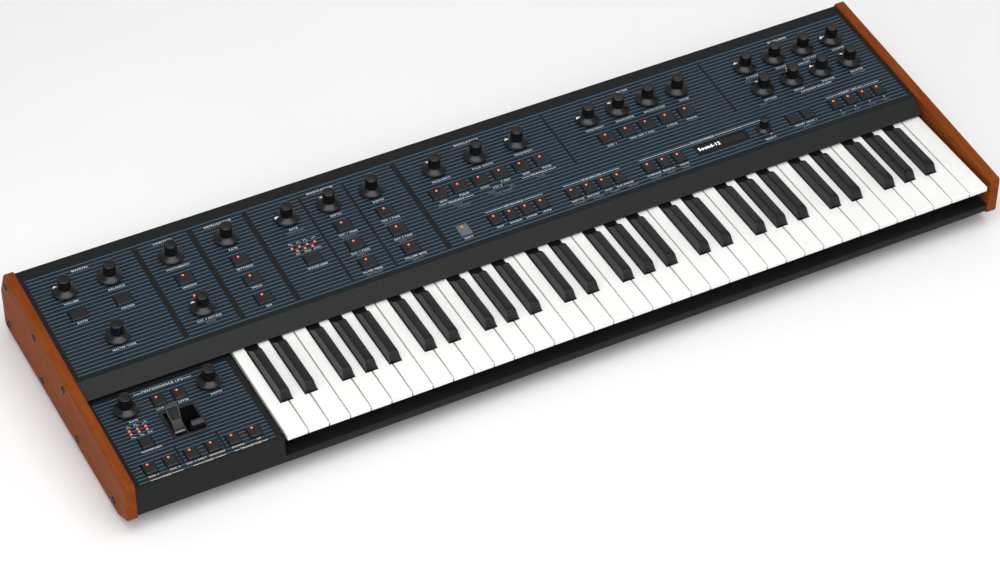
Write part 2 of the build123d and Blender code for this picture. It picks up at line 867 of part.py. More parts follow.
def lever_bore(span):
    """The running hole for the levers' rod."""
    radius = lever_rod_radius + rod_clearance
    return rod_x(radius, span[0] - 1, span[1] + 1, lever_pivot_y, -lever_pivot_drop)


def pitch_lever():
    """The tall, self-centring lever: a drum that fills its slot and a ribbed paddle."""
    paddle = [
        (-8.5, 17.0),
        (-8.5, 18.3),
        (4.5, 33.5),
        (6.0, 35.4),
        (12.6, 37.4),
        (13.6, 35.0),
        (9.0, 19.0),
        (5.0, 8.0),
    ]
    solid = lever_outline_to_solid(paddle, pitch_lever_span)
    grip = lever_outline_to_solid(paddle, pitch_grip_span)
    solid += grip & block(pitch_grip_span, (0, performance_panel_end), (pitch_grip_bottom, pitch_grip_top))
    left, right = pitch_lever_span
    drum = rod_x(lever_drum_radius, left, right, lever_pivot_y, -lever_pivot_drop)
    drum &= block((left - 1, right + 1),
                  (lever_pivot_y - lever_drum_front, lever_pivot_y + lever_drum_back),
                  (-lever_pivot_drop - 6.0, 10.0))
    return on_block * (solid + drum - lever_bore(pitch_lever_span))


def modulation_lever():
    """The lower lever, which stays where it is put: a hub, an arm and a finger bar."""
    arm = [
        (-5.0, -3.0),
        (-12.6, 14.0),
        (-14.6, 23.6),
        (-9.2, 26.3),
        (-6.4, 19.0),
        (5.0, 3.0),
        (5.0, -3.0),
    ]
    solid = lever_outline_to_solid(arm, mod_lever_span)
    hub = rod_x(5.5, mod_lever_span[0], mod_lever_span[1], lever_pivot_y, -lever_pivot_drop)
    return on_block * (solid + hub - lever_bore(mod_lever_span))


# ---------------------------------------------------------------- rear panel
def round_socket_points():
    """The round holes of the rear wall: x, height and radius."""
    jacks = [(case_left + jack_first + jack_pitch * i, socket_height, jack_bore + 1.3) for i in range(6)]
    dins = [(case_left + din_first + din_pitch * i, socket_height, din_bore + 1.3) for i in range(3)]
    return jacks + dins


def square_socket_points():
    """The rectangular holes of the rear wall: x, width and height."""
    return [
        (case_left + usb_place, 12.4, 11.4),
        (case_left + inlet_place, 28.4, 20.4),
        (case_left + switch_place, 19.4, 24.4),
    ]


def round_socket(x, height, bore, outer, depth, hollow):
    """A round socket: a nut outside the wall, a neck through it and a body behind, with one bore."""
    back = front + case_back
    neck = bore + 1.2
    body = rod_y(neck, back - sheet - 1, back, x, height)
    body += rod_y(outer, back, back + 1.2, x, height)
    body += block((x - outer - 1.5, x + outer + 1.5), (back - sheet - depth, back - sheet),
                  (height - outer - 1.5, height + outer + 1.5))
    return body - rod_y(bore, back - hollow, back + 2, x, height)


def square_socket(x, width, height, depth, wall, hollow):
    """A rectangular socket: a thin flange outside the wall and a body behind, with one recess."""
    back = front + case_back
    body = block((x - width / 2, x + width / 2), (back - depth, back), (socket_height - height / 2,
                 socket_height + height / 2))
    body += block((x - width / 2 - 1.6, x + width / 2 + 1.6), (back, back + 1.2),
                  (socket_height - height / 2 - 1.6, socket_height + height / 2 + 1.6))
    recess = block((x - width / 2 + wall, x + width / 2 - wall), (back - hollow, back + 2),
                   (socket_height - height / 2 + wall, socket_height + height / 2 - wall))
    return body - recess


def rear_sockets():
    """Jack sockets, round data sockets, the computer socket, the mains inlet and the switch's frame."""
    solids = []
    for i in range(6):
        x = case_left + jack_first + jack_pitch * i
        solids.append(round_socket(x, socket_height, jack_bore, 6.2, 26.0, 24.0))
    for i in range(3):
        x = case_left + din_first + din_pitch * i
        solids.append(round_socket(x, socket_height, din_bore, 9.6, 14.0, 9.0))
    solids.append(square_socket(case_left + usb_place, 12.0, 11.0, 16.0, 1.4, 11.0))
    inlet_x = case_left + inlet_place
    inlet = square_socket(inlet_x, 28.0, 20.0, 24.0, 1.8, 17.0)
    pins_back = front + case_back - 17.5
    for pin_x, pin_z in ((-7.0, -2.0), (7.0, -2.0), (0.0, 2.0)):
        inlet += block((inlet_x + pin_x - 1.0, inlet_x + pin_x + 1.0), (pins_back, pins_back + 10.0),
                       (socket_height + pin_z - 2.0, socket_height + pin_z + 2.0))
    solids.append(inlet)
    frame = square_socket(case_left + switch_place, 19.0, 24.0, 16.0, 2.0, 13.0)
    axle = rod_x(1.5, case_left + switch_place - 7.6, case_left + switch_place + 7.6,
                 front + case_back - 4.5, socket_height)
    solids.append(frame + axle)
    return Compound(children=solids)


def power_switch():
    """The rocker of the mains switch, on its axle, with its two faces meeting at a shallow angle."""
    x = case_left + switch_place
    pivot_y = front + case_back - 4.5
    outline = [
        (-4.5, -7.6),
        (4.2, -8.4),
        (5.4, 0.0),
        (4.2, 8.4),
        (-4.5, 7.6),
    ]
    points = [(pivot_y + y, socket_height + z) for y, z in outline]
    face = Plane.YZ.offset(x - 7.0) * make_face(Polyline(*points, close=True))
    rocker = extrude(face, amount=14.0, dir=(1, 0, 0))
    rocker = Pos(0, pivot_y, socket_height) * Rot(8, 0, 0) * Pos(0, -pivot_y, -socket_height) * rocker
    return rocker - rod_x(1.5 + rod_clearance, x - 8, x + 8, pivot_y, socket_height)


# ---------------------------------------------------------------- feet
def foot_points():
    """The feet, as x and depth: three along the front and three along the back."""
    points = []
    for x in (case_left + foot_inset_x, 0.0, case_right - foot_inset_x):
        points.append((x, foot_front))
        points.append((x, foot_back))
    return points


def rubber_feet():
    """Round rubber feet, each with a spigot through the floor of the case."""
    outline = [
        (0, 0),
        (foot_radius - 1.5, 0),
        (foot_radius, 1.5),
        (foot_radius - 1.0, foot_height),
        (foot_spigot, foot_height),
        (foot_spigot, foot_height + sheet),
        (0, foot_height + sheet),
    ]
    foot = turned(outline)
    return Compound(children=[Pos(x, front + depth, 0) * foot for x, depth in foot_points()])


# ---------------------------------------------------------------- write every node
os.makedirs("parts", exist_ok=True)
save(cheek(case_left - cheek_thickness), "left_cheek")
save(cheek(case_right), "right_cheek")
save(cheek_screws(), "cheek_screws")
save(bottom_pan(), "bottom_pan")
save(control_panel(), "control_panel")
save(performance_panel(), "performance_panel")
save(keybed_frame(), "keybed_frame")
save(key_rod(), "key_rod")
save(potentiometers(), "potentiometers")
save(circuit_boards(), "circuit_boards")
save(power_supply(), "power_supply")
save(display(), "display")
save(lever_box(), "lever_box")
save(pitch_lever(), "pitch_lever")
save(modulation_lever(), "modulation_lever")
save(rear_sockets(), "rear_sockets")
save(power_switch(), "power_switch")
save(rubber_feet(), "rubber_feet")
save(buttons(wide_places, button_width, on_panel), "buttons_wide")
save(buttons(small_places, small_button_width, on_panel), "buttons_small")
save(buttons(performance_places, small_button_width, on_block), "buttons_performance")
for node, (knob_x, knob_y) in knob_places.items():
    save(place_knob(large_knob(), on_panel, knob_x, knob_y), node)
save(place_knob(small_knob(), on_panel, *select_place), "knob_select")
save(place_knob(large_knob(), on_block, *rate_knob), "knob_performance_rate")
save(place_knob(large_knob(), on_block, *depth_knob), "knob_performance_depth")
for note_name in white_places:
    save(repeated_by_octave(white_key(note_name), note_name == "c"), "keys_" + note_name)
for note_name, black_centre in black_centres.items():
    save(repeated_by_octave(black_key(black_centre), False), "keys_" + note_name)
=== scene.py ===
# %% [markdown]
# # A keyboard synthesizer with wooden cheeks
# The case, panels, cheeks, sockets and feet arrive as a fixed frame, at their real size. This
# lesson gives them their finishes and makes the pieces that hands and eyes meet: keys, knobs,
# buttons, levers, lamps and the printing on the panels. Each new shape is a formula on a grid
# of points, worked out with numpy as whole arrays, and each finish is a small node tree.

# %% Load the frame
import json
import math

import bmesh
import bpy
import numpy as np
from mathutils import Matrix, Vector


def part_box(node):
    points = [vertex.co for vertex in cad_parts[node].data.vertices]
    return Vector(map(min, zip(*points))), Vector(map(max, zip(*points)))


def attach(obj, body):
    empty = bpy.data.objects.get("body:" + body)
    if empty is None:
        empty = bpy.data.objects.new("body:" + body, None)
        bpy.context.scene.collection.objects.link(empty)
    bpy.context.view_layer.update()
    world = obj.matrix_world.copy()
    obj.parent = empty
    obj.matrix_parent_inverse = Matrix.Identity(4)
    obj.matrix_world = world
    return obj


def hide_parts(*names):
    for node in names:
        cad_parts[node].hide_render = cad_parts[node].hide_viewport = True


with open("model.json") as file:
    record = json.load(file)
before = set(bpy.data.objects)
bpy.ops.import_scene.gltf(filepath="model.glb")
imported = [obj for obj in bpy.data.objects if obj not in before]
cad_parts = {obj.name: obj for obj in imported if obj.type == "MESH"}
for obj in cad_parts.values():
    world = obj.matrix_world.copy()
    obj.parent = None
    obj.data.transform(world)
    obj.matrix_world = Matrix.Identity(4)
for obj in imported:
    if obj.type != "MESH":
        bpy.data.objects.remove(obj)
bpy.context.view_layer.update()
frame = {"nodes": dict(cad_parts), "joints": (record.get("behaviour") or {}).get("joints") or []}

nodes = frame["nodes"]
joints = {joint["child"]: joint for joint in frame["joints"]}
print(len(nodes), "nodes,", len(joints), "moving bodies")

# %% [markdown]
# ## Places
# Almost everything sits on two surfaces: the sloping control panel and the low, level
# performance panel at the left of the keys. Each gets a frame of its own, with x across from
# the case's inner left wall, y back from the panel's front edge and z out of the surface. The
# knobs' joints already know where those surfaces are and which way they face, so the frames
# are worked out from two knobs instead of being typed in again.

# %% Two panel frames, in millimetres
mm = 0.001
across = np.array([1.0, 0.0, 0.0])


def panel_frame(knob, x, y):
    """The frame of the panel on which this knob stands, x across and y back from its corner."""
    up = -np.array(joints[knob]["axis"], float)
    up = up / np.linalg.norm(up)
    back = np.cross(up, across)
    origin = np.array(joints[knob]["pos_m"], float) - x * mm * across - y * mm * back
    return origin, back, up


def placed(points, where):
    """Points in a panel's millimetres become points in the row frame's metres."""
    origin, back, up = where
    p = np.asarray(points, float) * mm
    return origin + p[..., 0:1] * across + p[..., 1:2] * back + p[..., 2:3] * up


envelope_row, tune_row = 83.0, 41.0
rear_buttons, middle_buttons, front_buttons = 88.7, 58.1, 27.5
manual_column = 37.5
button_pitch, small_pitch, knob_pitch = 25.4, 19.05, 38.2
panel = panel_frame("knob_master_tune", manual_column + button_pitch, tune_row)
low_panel = panel_frame("knob_performance_rate", 34.9, 107.4)
case_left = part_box("bottom_pan")[0].x / mm
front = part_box("left_cheek")[0].y / mm
print("panel corner", np.round(panel[0] / mm, 1), "low panel corner", np.round(low_panel[0] / mm, 1))

# %% [markdown]
# ## Colours and nodes
# Paint and plastic are quoted the way a designer quotes them, as sRGB hex. The shader works in
# linear light, so one function turns one into the other. Another adds a node with its settings
# and links, and every finish below is built from calls to it.

# %% Helpers for finishes
def linear(colour):
    """An sRGB hex colour as linear red, green, blue and alpha: the sRGB curve undone."""
    channels = np.array([int(colour[i:i + 2], 16) for i in (1, 3, 5)]) / 255
    low = channels / 12.92
    high = ((channels + 0.055) / 1.055) ** 2.4
    return (*np.where(channels <= 0.04045, low, high).tolist(), 1.0)


def node(tree, kind, inputs=None, **settings):
    """Adds a node, sets its properties, and sets or links its inputs by name or number."""
    made = tree.nodes.new("ShaderNode" + kind)
    for name, value in settings.items():
        setattr(made, name, value)
    for name, value in (inputs or {}).items():
        if isinstance(value, bpy.types.NodeSocket):
            tree.links.new(value, made.inputs[name])
        else:
            made.inputs[name].default_value = value
    return made


def per_metre(size):
    """A texture's scale for features of this size in millimetres."""
    return 1000.0 / size


def new_material(name):
    """A material with a Principled shader, returned with its tree and its object coordinates."""
    material = bpy.data.materials.new(name)
    material.use_nodes = True
    tree = material.node_tree
    shader = tree.nodes["Principled BSDF"]
    place = node(tree, "TexCoord").outputs["Object"]
    return material, tree, shader, place


def speckled(tree, place, size, low, high, detail=2.0):
    """A noise with features of this size, spread between two values."""
    noise = node(tree, "TexNoise", {"Vector": place, "Scale": per_metre(size), "Detail": detail})
    spread = node(tree, "MapRange", {"Value": noise.outputs["Fac"], 1: 0.3, 2: 0.7, 3: low, 4: high})
    return spread.outputs["Result"]


def mixed(tree, amount, first, second):
    """A colour between two, which may be hex colours or sockets."""
    first = linear(first) if isinstance(first, str) else first
    second = linear(second) if isinstance(second, str) else second
    mix = node(tree, "Mix", {0: amount, 6: first, 7: second}, data_type="RGBA")
    return mix.outputs[2]


def bumped(tree, shader, height, depth):
    """Feeds a height, in units of depth millimetres, to the shader as relief."""
    bump = node(tree, "Bump", {"Height": height, "Strength": 1.0, "Distance": depth * mm})
    tree.links.new(bump.outputs["Normal"], shader.inputs["Normal"])


def plain(name, colour, second, roughness, grain, depth, ior=1.5, metallic=0.0, mottle=9.0, specular=0.5):
    """A moulded, coated or plated finish: two close tones, uneven gloss and a fine surface grain."""
    material, tree, shader, place = new_material(name)
    tone = speckled(tree, place, mottle, 0.0, 1.0, 4.0)
    tree.links.new(mixed(tree, tone, colour, second), shader.inputs["Base Color"])
    gloss = speckled(tree, place, mottle * 0.6, roughness * 0.9, roughness * 1.1)
    tree.links.new(gloss, shader.inputs["Roughness"])
    shader.inputs["Metallic"].default_value = metallic
    shader.inputs["IOR"].default_value = ior
    shader.inputs["Specular IOR Level"].default_value = specular
    bumped(tree, shader, speckled(tree, place, grain, 0.0, 1.0), depth)
    return material


# %% [markdown]
# ## Printed powder coat
# The panels are steel, powder coated in charcoal and baked, which leaves a fine orange-peel
# grain and a satin sheen. Blue lines are screen printed on the coat about every 5 mm, with a
# broader dark-brown line midway, and they stop short in plain lanes that part the sections.
# A picture of the lines would blur, so they are arithmetic on distances across and back from
# the panel's corner: the remainder after dividing by the pitch says how far a point is from
# the nearest line.

# %% The striped panels
stripe_pitch = 5.127
blue_width = 1.2
brown_width = 2.6


def remainder_band(tree, back, start, width):
    """1 where the distance back is within half a width of a line that repeats from start."""
    shifted = node(tree, "Math", {0: back, 1: start - stripe_pitch / 2}, operation="SUBTRACT")
    wrapped = node(tree, "Math", {0: shifted.outputs[0], 1: stripe_pitch}, operation="FLOORED_MODULO")
    near = node(tree, "Math", {0: wrapped.outputs[0], 1: stripe_pitch / 2, 2: width / 2}, operation="COMPARE")
    return near.outputs[0]


def within(tree, value, low, high):
    """1 where a distance lies between two values."""
    inside = node(tree, "Math", {0: value, 1: (low + high) / 2, 2: (high - low) / 2}, operation="COMPARE")
    return inside.outputs[0]


def combined(tree, operation, *values):
    """Values multiplied together or, with MAXIMUM, the largest of them."""
    result = values[0]
    for value in values[1:]:
        result = node(tree, "Math", {0: result, 1: value}, operation=operation).outputs[0]
    return result


def striped_coat(name, where, first_line, line_count, extent, lanes, folded):
    """Charcoal powder coat with printed lines, on one panel's frame.

    lanes holds (middle, width, lowest, highest) in millimetres for each plain lane, and
    folded two tones for the faces folded down from the printed one. The coat is the same there;
    these tones are painted light and shade, standing in for the light that those faces get."""
    material, tree, shader, place = new_material(name)
    origin, back, up = where
    moved = node(tree, "VectorMath", {0: place, 1: origin}, operation="SUBTRACT").outputs[0]
    x = node(tree, "VectorMath", {0: moved, 1: across * 1000}, operation="DOT_PRODUCT").outputs["Value"]
    y = node(tree, "VectorMath", {0: moved, 1: back * 1000}, operation="DOT_PRODUCT").outputs["Value"]
    z = node(tree, "VectorMath", {0: moved, 1: up * 1000}, operation="DOT_PRODUCT").outputs["Value"]
    last_line = first_line + stripe_pitch * (line_count - 1)
    sheet_face = within(tree, z, -0.2, 0.2)
    printed = combined(tree, "MULTIPLY", sheet_face, within(tree, x, *extent),
                       within(tree, y, first_line - 1.2, last_line + 1.2))
    for middle, width, lowest, highest in lanes:
        in_lane = combined(tree, "MULTIPLY", within(tree, x, middle - width / 2, middle + width / 2),
                           within(tree, y, lowest, highest))
        outside = node(tree, "Math", {0: 1.0, 1: in_lane}, operation="SUBTRACT").outputs[0]
        printed = combined(tree, "MULTIPLY", printed, outside)
    blue = combined(tree, "MULTIPLY", printed, remainder_band(tree, y, first_line, blue_width))
    brown_start = first_line + stripe_pitch / 2
    brown = combined(tree, "MULTIPLY", printed, remainder_band(tree, y, brown_start, brown_width))
    coat = mixed(tree, speckled(tree, place, 0.8, 0.0, 1.0, 3.0), "#141516", "#191a1b")
    # The folded faces take the given tones in place of the coat's: painted light and shade, not a different
    # coat.
    painted_fold_light = mixed(tree, speckled(tree, place, 0.8, 0.0, 1.0, 3.0), *folded)
    coat = mixed(tree, sheet_face, painted_fold_light, coat)
    colour = mixed(tree, brown, coat, "#291a12")
    colour = mixed(tree, blue, colour, "#2f6482")
    tree.links.new(colour, shader.inputs["Base Color"])
    gloss = speckled(tree, place, 3.0, 0.5, 0.6)
    tree.links.new(gloss, shader.inputs["Roughness"])
    shader.inputs["Specular IOR Level"].default_value = 0.2
    bumped(tree, shader, speckled(tree, place, 0.7, 0.0, 1.0), 0.02)
    return material


wide_lanes = [(middle, 6.6, 9.5, 153.0) for middle in (127.4, 191.1, 254.8, 432.8)]
thin_lanes = [(middle, 3.2, 9.5, 147.0) for middle in (318.0, 370.0)]
rear_lanes = [(middle, 3.0, 66.0, 153.0) for middle in (617.8, 820.8)]
# The control panel's folded faces, its lip among them, are given tones lighter than its coat: painted light.
panel_coat = striped_coat("striped powder coat", panel, 7.4, 30, (5.6, 1012.0),
                          wide_lanes + thin_lanes + rear_lanes, ("#1c1d1d", "#232424"))
low_lanes = [(middle, 2.6, 14.0, 40.0) for middle in (58.4, 104.0)]
# The low panel's folded front is given tones darker than its coat: painted shade.
low_panel_coat = striped_coat("striped powder coat of the low panel", low_panel, 6.0, 25, (7.0, 156.0),
                              low_lanes, ("#0d0e0e", "#131414"))

# %% [markdown]
# ## Wood, rubber, steel and plastic
# The cheeks are a reddish-brown hardwood under satin oil. Wood is long fibres, so its noise is
# stretched along the board: a broad one for the growth bands, a fine one for the fibres, and
# short dark dashes for the pores. The other finishes differ in tone, gloss and grain only.

# %% Wood
def oiled_wood(name):
    """Hardwood whose grain runs from front to back: growth bands, fibres and pores."""
    material, tree, shader, place = new_material(name)
    turned = node(tree, "Mapping",
                  {"Vector": place, "Scale": (1.0, 0.06, 1.0), "Rotation": (0.05, 0.0, 0.03)})
    along = turned.outputs["Vector"]
    bands = node(tree, "TexNoise",
                 {"Vector": along, "Scale": per_metre(14.0), "Detail": 5.0, "Distortion": 0.8})
    fibre = node(tree, "TexNoise", {"Vector": along, "Scale": per_metre(1.6), "Detail": 4.0})
    pores = node(tree, "TexNoise", {"Vector": along, "Scale": per_metre(0.7), "Detail": 2.0})
    broad = node(tree, "MapRange", {"Value": bands.outputs["Fac"], 1: 0.32, 2: 0.68}).outputs["Result"]
    fine = node(tree, "MapRange", {"Value": fibre.outputs["Fac"], 1: 0.35, 2: 0.7}).outputs["Result"]
    pore = node(tree, "MapRange", {"Value": pores.outputs["Fac"], 1: 0.62, 2: 0.72}).outputs["Result"]
    colour = mixed(tree, broad, "#7c3c16", "#8f4a1f")
    half_fine = node(tree, "Math", {0: fine, 1: 0.45}, operation="MULTIPLY").outputs[0]
    colour = mixed(tree, half_fine, colour, "#5f2c13")
    half_pore = node(tree, "Math", {0: pore, 1: 0.5}, operation="MULTIPLY").outputs[0]
    colour = mixed(tree, half_pore, colour, "#3e1c0c")
    tree.links.new(colour, shader.inputs["Base Color"])
    gloss = node(tree, "MapRange", {"Value": fibre.outputs["Fac"], 3: 0.42, 4: 0.54}).outputs["Result"]
    tree.links.new(gloss, shader.inputs["Roughness"])
    shader.inputs["IOR"].default_value = 1.48
    shader.inputs["Specular IOR Level"].default_value = 0.02
    bumped(tree, shader, fine, 0.03)
    return material


cheek_wood = oiled_wood("oiled hardwood")

# %% The other finishes
case_steel = plain("charcoal powder coat", "#101112", "#151617", 0.55, 0.7, 0.02, specular=0.2)
white_abs = plain("polished white ABS", "#f6f6f4", "#f1f1ee", 0.18, 40.0, 0.02, 1.54, mottle=60.0)
black_abs = plain("satin black ABS", "#0d0d0e", "#121213", 0.36, 0.5, 0.006, 1.54, specular=0.35)
knob_abs = plain("satin black knob plastic", "#0b0b0c", "#101011", 0.28, 0.4, 0.005, 1.54, specular=0.42)
button_abs = plain("grained black ABS", "#121314", "#18191a", 0.44, 0.35, 0.01, 1.54, specular=0.35)
grey_abs = plain("grained grey ABS", "#5b5f63", "#64686d", 0.5, 0.35, 0.01, 1.54, specular=0.35)
lever_abs = plain("satin black lever plastic", "#1a1a1b", "#202021", 0.42, 0.45, 0.008, 1.54, specular=0.35)
# The pale plastic at the pitch lever's foot stands in for the highlight along its front edge: a painted
# highlight.
foot_highlight_plastic = plain("pale bar as painted highlight", "#77746f", "#827f7a", 0.4, 0.4, 0.004)
zinc_steel = plain("zinc plated steel", "#9b9b9a", "#adadab", 0.32, 0.9, 0.006, metallic=1.0)
black_steel = plain("black oxide steel", "#1b1c1f", "#26272b", 0.3, 0.6, 0.008)
die_cast = plain("die-cast metal", "#8d8e90", "#9b9c9e", 0.4, 1.2, 0.02, metallic=1.0)
glass_fibre = plain("glass-fibre board", "#1b4a2c", "#235836", 0.4, 0.6, 0.01)
socket_nylon = plain("moulded black nylon", "#1c1c1d", "#232324", 0.42, 0.5, 0.01)
foot_rubber = plain("moulded rubber", "#17171a", "#1f1f21", 0.75, 0.8, 0.03, 1.52)
label_ink = plain("off-white printing ink", "#ded6cc", "#e8e1d8", 0.5, 0.3, 0.004)
dim_ink = plain("grey-brown printing ink", "#7b7066", "#867a71", 0.5, 0.3, 0.004)
pointer_paint = plain("white pointer paint", "#f2f2ef", "#e9e9e5", 0.35, 0.4, 0.004)


def glowing(name, colour, brighter, strength):
    """A lamp or display cell: a glossy coloured plastic that is lit from within."""
    material, tree, shader, place = new_material(name)
    tone = speckled(tree, place, 1.2, 0.0, 1.0)
    tree.links.new(mixed(tree, tone, colour, brighter), shader.inputs["Base Color"])
    shader.inputs["Roughness"].default_value = 0.25
    shader.inputs["Emission Color"].default_value = linear(colour)
    shader.inputs["Emission Strength"].default_value = strength
    return material


lamp_glow = glowing("orange-red lamp", "#ff5526", "#ff7a50", 1.25)
display_glow = glowing("white display segments", "#f0f2f2", "#f4f6f6", 1.2)


def display_window(name):
    """Smoked acrylic over a character display, whose unlit cells show as faint grey bars."""
    material, tree, shader, place = new_material(name)
    moved = node(tree, "VectorMath", {0: place, 1: panel[0]}, operation="SUBTRACT").outputs[0]
    x = node(tree, "VectorMath", {0: moved, 1: across * 1000}, operation="DOT_PRODUCT").outputs["Value"]
    y = node(tree, "VectorMath", {0: moved, 1: panel[1] * 1000}, operation="DOT_PRODUCT").outputs["Value"]
    cell_width, cell_row = 3.6, 7.0
    wrapped = node(tree, "Math", {0: x, 1: cell_width}, operation="FLOORED_MODULO").outputs[0]
    cell = combined(tree, "MULTIPLY", within(tree, wrapped, 0.5, 3.1), within(tree, x, 751.0, 810.0),
                    within(tree, y, 28.6 - cell_row / 2, 28.6 + cell_row / 2))
    tree.links.new(mixed(tree, cell, "#050607", "#1d1f21"), shader.inputs["Base Color"])
    shader.inputs["Roughness"].default_value = 0.12
    shader.inputs["Specular IOR Level"].default_value = 0.2
    bumped(tree, shader, speckled(tree, place, 30.0, 0.0, 1.0), 0.01)
    return material


smoked_window = display_window("smoked display window")

# %% Give the frame's own nodes their finishes
finishes = {
    "left_cheek": cheek_wood, "right_cheek": cheek_wood, "cheek_screws": black_steel,
    "bottom_pan": case_steel, "control_panel": panel_coat, "performance_panel": low_panel_coat,
    "keybed_frame": zinc_steel, "key_rod": zinc_steel, "potentiometers": die_cast,
    "circuit_boards": glass_fibre, "power_supply": die_cast, "display": smoked_window,
    "lever_box": lever_abs, "rear_sockets": socket_nylon, "rubber_feet": foot_rubber,
    "power_switch": button_abs,
}
for name, material in finishes.items():
    nodes[name].data.materials.clear()
    nodes[name].data.materials.append(material)
print("finished", len(finishes), "frame nodes")

# %% [markdown]
# ## From a formula to a mesh
# A surface is a grid of points: rows run along the shape and columns run around it. Joining
# each point to its neighbours gives quads, and an n-gon closes each end, so every shape is a
# closed shell. Several shells can share one object, as the keys of one note do.

# %% Helpers for shapes
def closed_loft(rings):
    """A shell through closed rings of points, given as (rows, columns, 3), with both ends capped."""
    rings = np.asarray(rings, float)
    rows, columns = rings.shape[:2]
    i = np.arange(rows - 1)[:, None] * columns
    j = np.arange(columns)[None, :]
    k = (j + 1) % columns
    quads = np.stack(np.broadcast_arrays(i + j, i + k, i + columns + k, i + columns + j), axis=-1)
    faces = [tuple(q) for q in quads.reshape(-1, 4).tolist()]
    faces.append(tuple(range(columns)))
    faces.append(tuple(range((rows - 1) * columns, rows * columns)))
    return rings.reshape(-1, 3), faces


def joined(shells):
    """Several shells as one list of points and faces."""
    points, faces, start = [], [], 0
    for shell_points, shell_faces in shells:
        points.append(shell_points)
        faces += [tuple(index + start for index in face) for face in shell_faces]
        start += len(shell_points)
    return np.concatenate(points), faces


def piece(name, shells, material, body, replaced=(), smooth_below=35.0):
    """An object from closed shells, with its faces pointing outwards, riding on a body."""
    points, faces = joined(shells)
    mesh = bpy.data.meshes.new(name)
    mesh.from_pydata(points.tolist(), [], faces)
    shape = bmesh.new()
    shape.from_mesh(mesh)
    bmesh.ops.recalc_face_normals(shape, faces=shape.faces)
    shape.to_mesh(mesh)
    shape.free()
    mesh.polygons.foreach_set("use_smooth", [True] * len(mesh.polygons))
    mesh.set_sharp_from_angle(angle=math.radians(smooth_below))
    mesh.materials.append(material)
    made = bpy.data.objects.new(name, mesh)
    bpy.context.scene.collection.objects.link(made)
    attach(made, body)
    if replaced:
        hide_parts(*replaced)
    return made


def turned_shell(profile, columns, x, y, where, ripple=None):
    """A profile of (radius, height) points turned about a panel's normal at x and y.

    ripple(angle, height) is taken off the radius where it is given."""
    profile = np.asarray(profile, float)
    angle = np.linspace(0, 2 * np.pi, columns, endpoint=False)[None, :]
    radius = profile[:, :1] + 0 * angle
    height = profile[:, 1:] + 0 * angle
    if ripple is not None:
        radius = radius - ripple(angle, height)
    points = np.stack([x + radius * np.sin(angle), y + radius * np.cos(angle), height], axis=-1)
    return closed_loft(placed(points, where))


def rounded_rectangle(half_x, half_y, radius, corner_points=6):
    """A closed ring of (x, y) points: four quarter circles joined by the straight sides."""
    quarter = np.linspace(0, np.pi / 2, corner_points)
    corners = []
    for turn in range(4):
        angle = quarter + turn * np.pi / 2
        sign_x = (1, -1, -1, 1)[turn]
        sign_y = (1, 1, -1, -1)[turn]
        corners.append(np.stack([sign_x * (half_x - radius) + radius * np.cos(angle),
                                 sign_y * (half_y - radius) + radius * np.sin(angle)], axis=-1))
    return np.concatenate(corners)


# %% [markdown]
# ## Knobs
# Each knob is a moulded skirt that flares out to a thin rim, a slightly flaring grip with
# flutes, and a cap with a raised rim. It is a lathe profile, so it is turned, and the flutes
# are a ripple of the radius that fades in and out with height. A white wedge on the skirt
# shows where the knob points, and it turns with the knob.

# %% One knob and its pointer
flute_count = 18
skirt_rows = [(r, 4.15 + 2.95 * ((12.95 - r) / 5.35) ** 1.35) for r in np.linspace(12.95, 7.6, 9)]
knob_profile = (
    [(0.02, -8.5), (3.0, -8.5), (3.0, 5.4), (4.8, 5.4), (4.8, 3.0)]
    + [(13.1, 3.0), (13.4, 3.2), (13.4, 3.8), (13.25, 4.05)]
    + skirt_rows
    + [(7.15, 7.4), (6.95, 7.8), (6.85, 9.0), (6.8, 12.0), (6.75, 15.0), (6.72, 18.2)]
    + [(6.85, 18.7), (6.98, 19.1), (7.0, 19.5), (7.0, 20.4), (6.85, 20.85), (6.5, 21.2)]
    + [(6.1, 21.37), (5.8, 21.37), (5.6, 21.25), (5.0, 21.15), (0.02, 21.15)]
)


def flutes(angle, height):
    """Rounded grooves round the grip: 0.6 mm deep, fading out within 0.8 mm of its ends."""
    fade = np.clip((height - 7.3) / 0.8, 0, 1) * np.clip((19.1 - height) / 0.8, 0, 1)
    return 0.6 * fade * (0.5 - 0.5 * np.cos(flute_count * angle)) ** 1.5


def knob_shell(x, y, where):
    """A knob with its skirt, fluted grip, cap and shaft."""
    return turned_shell(knob_profile, flute_count * 8, x, y, where, flutes)


def pointer_shell(x, y, where, angle):
    """A wedge of paint on the skirt, from 8.3 to 12.8 mm out, clockwise by angle from the back."""
    radius = np.linspace(8.3, 12.8, 7)
    height = np.interp(radius, [row[0] for row in skirt_rows[::-1]], [row[1] for row in skirt_rows[::-1]])
    half = np.linspace(0.2, 2.0, 7)
    turn = math.radians(angle)
    outward = np.array([math.sin(turn), math.cos(turn)])
    side = np.array([outward[1], -outward[0]])
    rings = []
    for r, h, w in zip(radius, height, half):
        left, right = r * outward - w * side, r * outward + w * side
        rings.append([(x + left[0], y + left[1], h - 0.25), (x + right[0], y + right[1], h - 0.25),
                      (x + right[0], y + right[1], h + 0.07), (x + left[0], y + left[1], h + 0.07)])
    return closed_loft(placed(rings, where))


